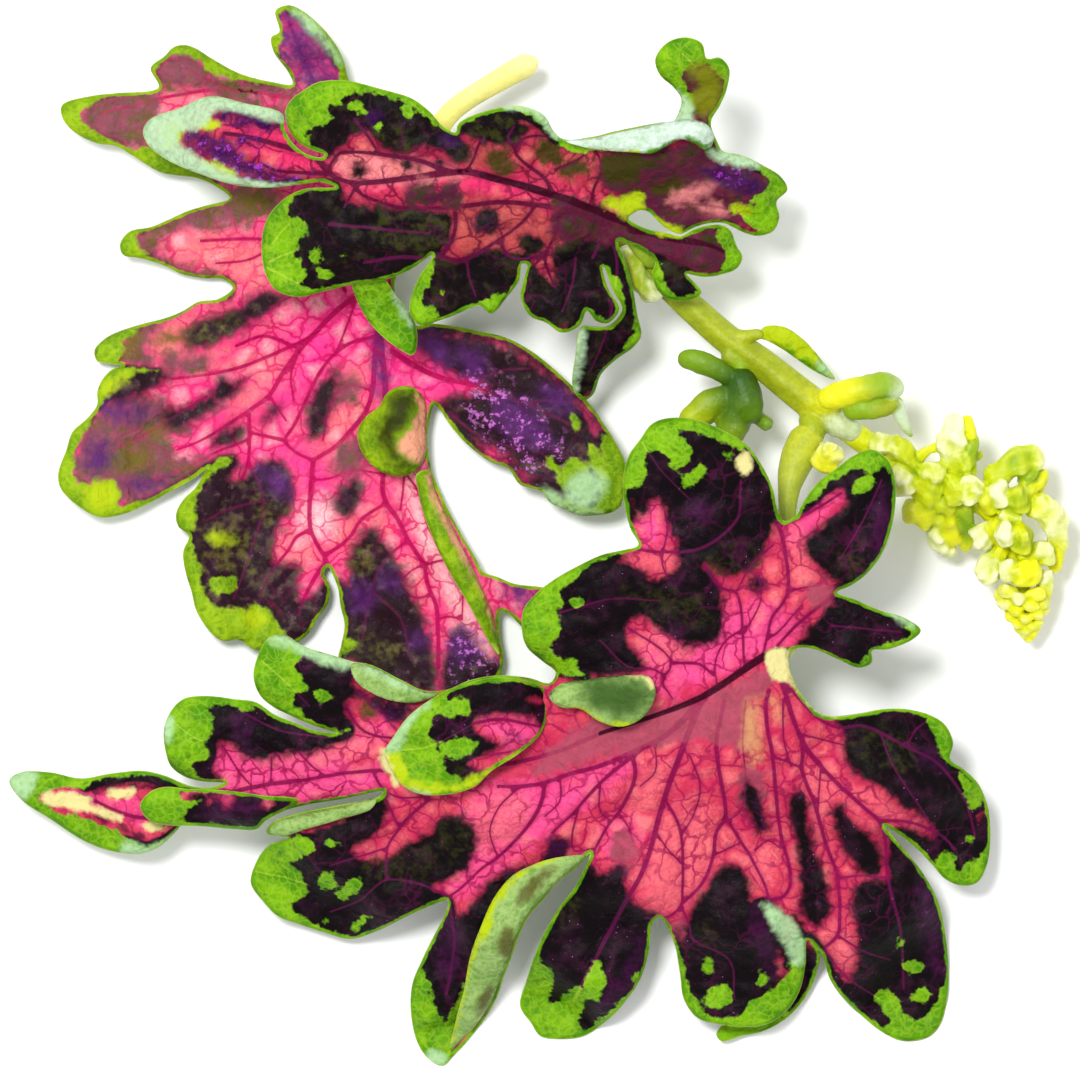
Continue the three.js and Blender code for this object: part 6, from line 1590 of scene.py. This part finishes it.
BRACT = [
    [[818, 401, 10.6, 840, 395, 11.4, 862, 389, 12, 886, 385, 11.9, 903, 393, 11.3],
        [1.1, 1.25, 1.3, 1.25, 1.0],
        {"yellow": [1, 1, 0.7, 0.1, 0], "green": [0, 0, 0.4, 0.9, 0.2], "mint": [0, 0, 0, 0.1, 0.9]}],
    [[842, 408, 10.8, 864, 408, 11.2, 884, 406, 11.2, 900, 400, 11], [1.0, 1.25, 1.15, 0.8],
        {"green": [0.9, 0.8, 0.3, 0.1], "deep": [0.2, 0.1, 0]}, {"seed": 1}],
    [[895, 398, 11.2, 900, 414, 10.4, 906, 427, 9.8, 913, 438, 9.2], [0.85, 0.75, 0.55, 0.25],
        {"mint": [0.9, 0.9, 0.2], "pale": [0.3, 0.2, 0], "green": [0, 0, 0.9]}, {"seed": 2}],
]
SMALL_BUD = [
    [[824, 474, 12.2, 829, 457, 12.4, 834, 444, 12], [1.0, 1.35, 1.6, 1.2],
        {"pale": [0, 0.4, 0.9], "yellow": [1, 0.6]}, {"lumps": 0.25}],
]
# The buds, shoot and bract grown into skins, each with a painted highlight on its crests and painted shade
# in its grooves, as strong as its crest setting.
for name, node, slot, rows, ridges, finish, skin in (
    ("pale_bud", "axil_bud", "pale_stalk", BUD_SCALES, 2, stem_green, {"rounds": 2, "crest_light": 1.5}),
    ("dark_shoot", "axil_shoot", "dark_shoot", SHOOT, 3, shoot_green, {"rounds": 4, "crest_light": 1.0}),
    ("folded_bract", "bract", "pale_stalk", BRACT, 2, stem_green, {"grain": 0.17, "crest_light": 1.2}),
    ("small_bud", "bract_bud", "pale_stalk", SMALL_BUD, 3, stem_green, {"rounds": 2, "crest_light": 1.2}),
):
    grow_together(name, node, slot, buds(rows, ridges=ridges), finish, **skin)

# The flower spike: its axis, then the cups and bracts round it, then the tight buds of its tip.
RACHIS = [
    828, 416, 9, 850, 431, 8.8, 880, 452, 8.4, 915, 470, 8, 950, 488, 7.4, 985, 508, 6.6, 1008, 535, 5.8,
    1021, 575, 5, 1029, 610, 4.2, 1030, 636, 3.4,
]
# The pale drawn on the cups is partly their own whitish colour and partly painted highlight.
CUPS = [
    # the curved bract and the bulges below it
    [[870, 446, 9.2, 884, 445, 9.8, 900, 450, 9.8, 912, 462, 9.2, 917, 476, 8.6], [0.9, 1.05, 1.1, 0.9, 0.5],
        {"pale": [0.4, 0.7, 0.1, 0, 0], "green": [0, 0, 0.2, 0.4, 0.8]}],
    [[898, 464, 8.6, 903, 480, 9.2, 908, 496, 9], [1.0, 1.25, 1.1], {"pale": [0.5, 0.8, 0.6]}],
    [[902, 508, 7.2, 918, 511, 7.4, 936, 510, 6.8], [1.05, 1.4, 1.3],
        {"yellow": [0.6, 0.5, 0.3], "pale": [0.5, 0, 0]}],
    [[912, 490, 8, 926, 488, 8.8, 944, 492, 8.6], [1.0, 1.3, 1.2], {"green": [0, 0.2, 0.3]}],
    [[924, 478, 9, 934, 473, 9.8, 946, 476, 9.6], [0.9, 1.1, 0.9], {"green": 0.15, "pale": [0.2, 0.5, 0.4]}],
    # the upper hood, its lip and its stalk
    [[958, 474, 8.8, 953, 447, 10, 954, 428, 10.6, 958, 413, 10.2], [0.9, 1.15, 1.1, 0.75],
        {"pale": [0.2, 0.7, 0.95, 0.9]}],
    [[964, 474, 8.6, 966, 456, 9.6, 972, 444, 9.8, 976, 434, 9.4], [1.2, 1.15, 0.85, 0.4],
        {"green": [0.2, 0.6, 1, 0.3]}],
    [[972, 440, 10, 969, 426, 10.4, 965, 415, 10], [0.6, 0.5, 0.45], {"yellow": [0.6, 0.9]}],
    [[974, 458, 9, 979, 454, 8.8, 984, 452, 8.6], [0.5, 0.35, 0.2], {"green": 0.5}],
    [[943, 446, 9.4, 947, 456, 9.2, 951, 466, 8.8], [0.4, 0.45, 0.4], {"pale": 0.8}],
    [[915, 464, 8.8, 930, 449, 9.4, 946, 445, 9.4], [0.5, 0.45, 0.45], {"yellow": 0.5}],
    # the middle of the spike
    [[948, 490, 8.4, 958, 486, 9, 966, 478, 8.8], [1.5, 1.6, 1.2], {"green": [0.2, 0.3, 0.1]}],
    [[977, 477, 9.6, 970, 489, 9.8, 972, 504, 9.2], [0.9, 1.15, 0.95], {"pale": [0.8, 0.6, 0.85]}],
    [[980, 482, 9, 987, 497, 8.8, 994, 514, 8], [0.75, 0.85, 0.8], {"yellow": 0.6, "green": [0, 0.2, 0.2]}],
    # the hanging cup
    [[948, 504, 7.4, 939, 517, 6.6, 938, 534, 5.4, 946, 548, 4.2, 958, 554, 3.6],
        [0.75, 0.85, 0.85, 0.9, 0.7],
        {"pale": [0.4, 0.5, 0.8, 0.9, 0.6]}],
    [[950, 502, 8, 948, 516, 7, 954, 532, 5.6, 960, 543, 4.6], [0.8, 0.95, 0.9, 0.7],
        {"yellow": [0.2, 0.7, 0.9]}],
    [[958, 500, 8, 965, 515, 7, 967, 532, 5.4, 967, 552, 4], [0.8, 0.85, 0.65, 0.6],
        {"green": [0.4, 1, 0.7, 0], "yellow": [0, 0, 0, 0.9]}],
    # the right cup and its lip
    [[984, 480, 8.2, 1000, 474, 8.6, 1014, 464, 8.6, 1030, 459, 8.2, 1046, 458, 7.6],
        [0.9, 1.05, 1.2, 1.15, 0.8],
        {"green": [0.3, 0.3, 0.6, 0.4, 0], "pale": [0, 0, 0.1, 0.3, 0.95]}],
    [[1018, 478, 8, 1028, 472, 8.2, 1036, 464, 8], [0.9, 0.95, 0.6], {"green": [0.9, 1, 0.7]}],
    [[1022, 492, 7.6, 1036, 482, 7.6, 1048, 470, 7.4], [1.1, 1.0, 0.45],
        {"yellow": [0.3, 0.6, 0.5], "green": 0.2}],
    # the hood beside it
    [[1007, 480, 9.4, 998, 491, 9.6, 1003, 508, 9], [0.6, 0.95, 0.8], {"pale": [0.7, 0.95, 0.7]}],
    [[1011, 488, 9, 1017, 498, 9, 1018, 512, 8.4], [1.0, 1.15, 1.0], {"green": [0.1, 0.7, 0.2]}],
    [[1018, 484, 8.8, 1025, 490, 8.6, 1028, 502, 8.2], [0.35, 0.45, 0.4], {"pale": [0.5, 0.7, 0.3]}],
    # the long curved bract
    [[1024, 510, 7.6, 1042, 509, 7.6, 1054, 520, 6.8, 1058, 538, 5.8, 1056, 556, 5, 1056, 570, 4.4],
        [0.9, 1.2, 1.25, 0.95, 0.75, 0.65],
        {"pale": [0.1, 0.7, 0.8, 0.3, 0], "yellow": [0.5, 0.2, 0.2, 0.6, 0.8]}],
    # the smaller cups above the tip
    [[978, 524, 6.8, 983, 534, 7, 991, 546, 6.4], [1.0, 1.25, 1.0], {"pale": [0.7, 0.85, 0.6]}],
    [[990, 518, 7.4, 1000, 528, 7, 1004, 546, 6.4], [0.9, 1.1, 1.0], {"yellow": [0.8, 0.5, 0.7]}],
    [[1010, 524, 8.4, 1004, 532, 8.8, 1011, 546, 8.2], [0.7, 0.9, 0.7], {"pale": [0.7, 0.95, 0.6]}],
    [[1017, 524, 8, 1022, 538, 8.2, 1022, 552, 7.4], [0.9, 1.1, 0.95],
        {"yellow": 0.5, "green": [0, 0.7, 0.3]}],
    [[1034, 546, 6.8, 1045, 552, 6.6, 1046, 564, 5.8], [0.8, 1.0, 0.8], {"pale": [0.6, 0.7, 0.2]}],
    [[1052, 560, 5, 1056, 568, 4.6, 1057, 573, 4.3], [0.6, 0.6, 0.35], {"yellow": 0.7, "green": 0.2}],
    [[994, 548, 6, 1002, 553, 6, 1010, 556, 6], [0.8, 0.95, 0.8], {"yellow": 0.8}],
    [[1018, 548, 6.4, 1030, 554, 6.2, 1042, 562, 5.6], [0.9, 1.0, 0.8], {"yellow": 0.5, "green": [0.3, 0]}],
    [[1000, 510, 8, 1010, 516, 8, 1022, 520, 7.6], [0.9, 1.0, 0.9], {"pale": [0.6, 0.3], "green": [0, 0.4]}],
    [[930, 500, 7.6, 944, 502, 8, 958, 504, 7.8], [1.1, 1.2, 1.0], {"green": [0.1, 0.5]}],
    # the first buds of the tip
    [[1008, 556, 6.2, 995, 561, 5.8, 990, 571, 5.8, 996, 583, 5.4], [0.8, 1.0, 1.1, 0.9],
        {"pale": [0.4, 0.8, 0.8]}],
    [[1008, 560, 7, 1010, 570, 7.4, 1012, 582, 7], [0.8, 0.95, 0.85], {"pale": [0.7, 0.8, 0.4]}],
    [[1022, 560, 7, 1026, 572, 7.2, 1028, 586, 6.6], [1.1, 1.2, 1.0],
        {"yellow": [0.8, 0.9, 0.7], "green": [0, 0.1, 0.3]}],
    [[1043, 570, 5.8, 1045, 578, 5.6, 1044, 588, 5], [0.8, 0.85, 0.7], {"pale": [0.8, 0.9, 0.5]}],
]
FULLNESS = 1.17  # a cup's width to the radii given for it
shapes = [
    bud(path, np.multiply(radii, FULLNESS), tones, sides=16, ridge=0.13, flat=0.95, lumps=0.16, seed=seed)
    for seed, (path, radii, tones) in enumerate(CUPS)
]
rachis_radii = [1.2, 1.3, 1.2, 1.1, 1, 0.95, 0.9, 0.8, 0.6, 0.35]
shapes.append(stalk(drawn_path(RACHIS), rachis_radii, {"yellow": 0.4}, bud_lime))

# The tight buds of the tip wind round its axis, from the first and largest to the last.
TIP_BUDS = 34
TIP_TURN = 2.4  # from bud to bud, in radians
TIP_START = (1024, 582, 5)  # where its axis starts, and how far it runs
TIP_RUN = (6, 54, -1.5)
TIP_REACH = 19.5  # how far the first buds stand from it
TIP_TAPER = 1.6  # the higher, the later it narrows
TIP_HEIGHT = 0.085  # millimetres up for each drawing unit sideways
TIP_SIZES = (1.12, -0.6)  # the first bud's radius, and what the last one's is less
TIP_SHAPE = (0.75, 1, 0.55)  # the radius at a bud's root, middle and end, as shares
TIP_PALE = (0.5, 0.9)  # how pale its root and its end may be
TIP_YELLOW = (0.3, 1.0)  # how yellow it is, least and most
TIP_BEND = 0.1  # how far a bud bends outwards in its middle
TIP_MIDDLE = (8, -3)  # how far down that is
TIP_END = (14, -6)  # and its end
TIP_ARCH = (0.1, -0.2)  # how much higher they lie than its start
for k in range(TIP_BUDS):
    share = k / (TIP_BUDS - 1)
    turn = TIP_TURN * k
    reach = TIP_REACH * (1 - share**TIP_TAPER)
    size = TIP_SIZES[0] + TIP_SIZES[1] * share
    x, y, z = (start + run * share for start, run in zip(TIP_START, TIP_RUN))
    x += reach * math.cos(turn)
    z = max(z + reach * TIP_HEIGHT * math.sin(turn), size)
    bend = TIP_BEND * reach * math.cos(turn)
    middle = [x + bend, y + TIP_MIDDLE[0] + TIP_MIDDLE[1] * share, z + TIP_ARCH[0]]
    end = [x, y + TIP_END[0] + TIP_END[1] * share, z + TIP_ARCH[1]]
    pale = [random.uniform(0, most) for most in TIP_PALE]
    tones = {"pale": pale, "yellow": random.uniform(*TIP_YELLOW)}
    radii = [size * part for part in TIP_SHAPE]
    path = [x, y, z, *middle, *end]
    shapes.append(bud(path, radii, tones, sides=12, ridge=0.1, lumps=0.15, seed=k))
# The spike's skin gets a painted highlight on its crests and painted shade in its grooves.
grow_together("flower_spike", "raceme", "lime_bud", shapes, bud_lime, grain=0.14, rounds=2, crest_light=2.4)

# ------------------------------------------------------------------------------- floor, light and camera

FLOOR_SIZE = 6  # metres
FLOOR_TONE = 0.97
SKY = 0.84  # the even light from all round
LAMP_WIDTH = 0.24  # metres
LAMP_POWER = 8.1  # watts
LAMP_PLACE = (-0.2, 0.22, 0.96)
LENS = 800  # millimetres, for a sensor as wide as the next says
SENSOR = 36
CAMERA_PLACE = (0.00038, -0.00035, 2.41)

bpy.ops.mesh.primitive_plane_add(size=FLOOR_SIZE)
floor = bpy.context.object
floor.name = "floor"
paper = Finish("paper")
skin = paper.node("ShaderNodeBsdfDiffuse", {}, {"Color": (*(FLOOR_TONE,) * 3, 1)})
paper.node("ShaderNodeOutputMaterial", {}, {"Surface": skin})
floor.data.materials.append(paper.material)

world = bpy.data.worlds.new("studio")
world.use_nodes = True
sky = world.node_tree.nodes["Background"]
sky.inputs["Color"].default_value = (1, 1, 1, 1)
sky.inputs["Strength"].default_value = SKY
bpy.context.scene.world = world

lamp = bpy.data.lights.new("window", "AREA")
lamp.shape = "DISK"
lamp.size = LAMP_WIDTH
lamp.energy = LAMP_POWER
window = show("window", lamp)
window.location = LAMP_PLACE
window.rotation_euler = (-window.location).to_track_quat("-Z", "Y").to_euler()

camera = show("camera", bpy.data.cameras.new("camera"))
camera.data.lens = LENS
camera.data.sensor_width = SENSOR
camera.location = CAMERA_PLACE
bpy.context.scene.camera = camera
bpy.context.scene.view_settings.view_transform = "Standard"
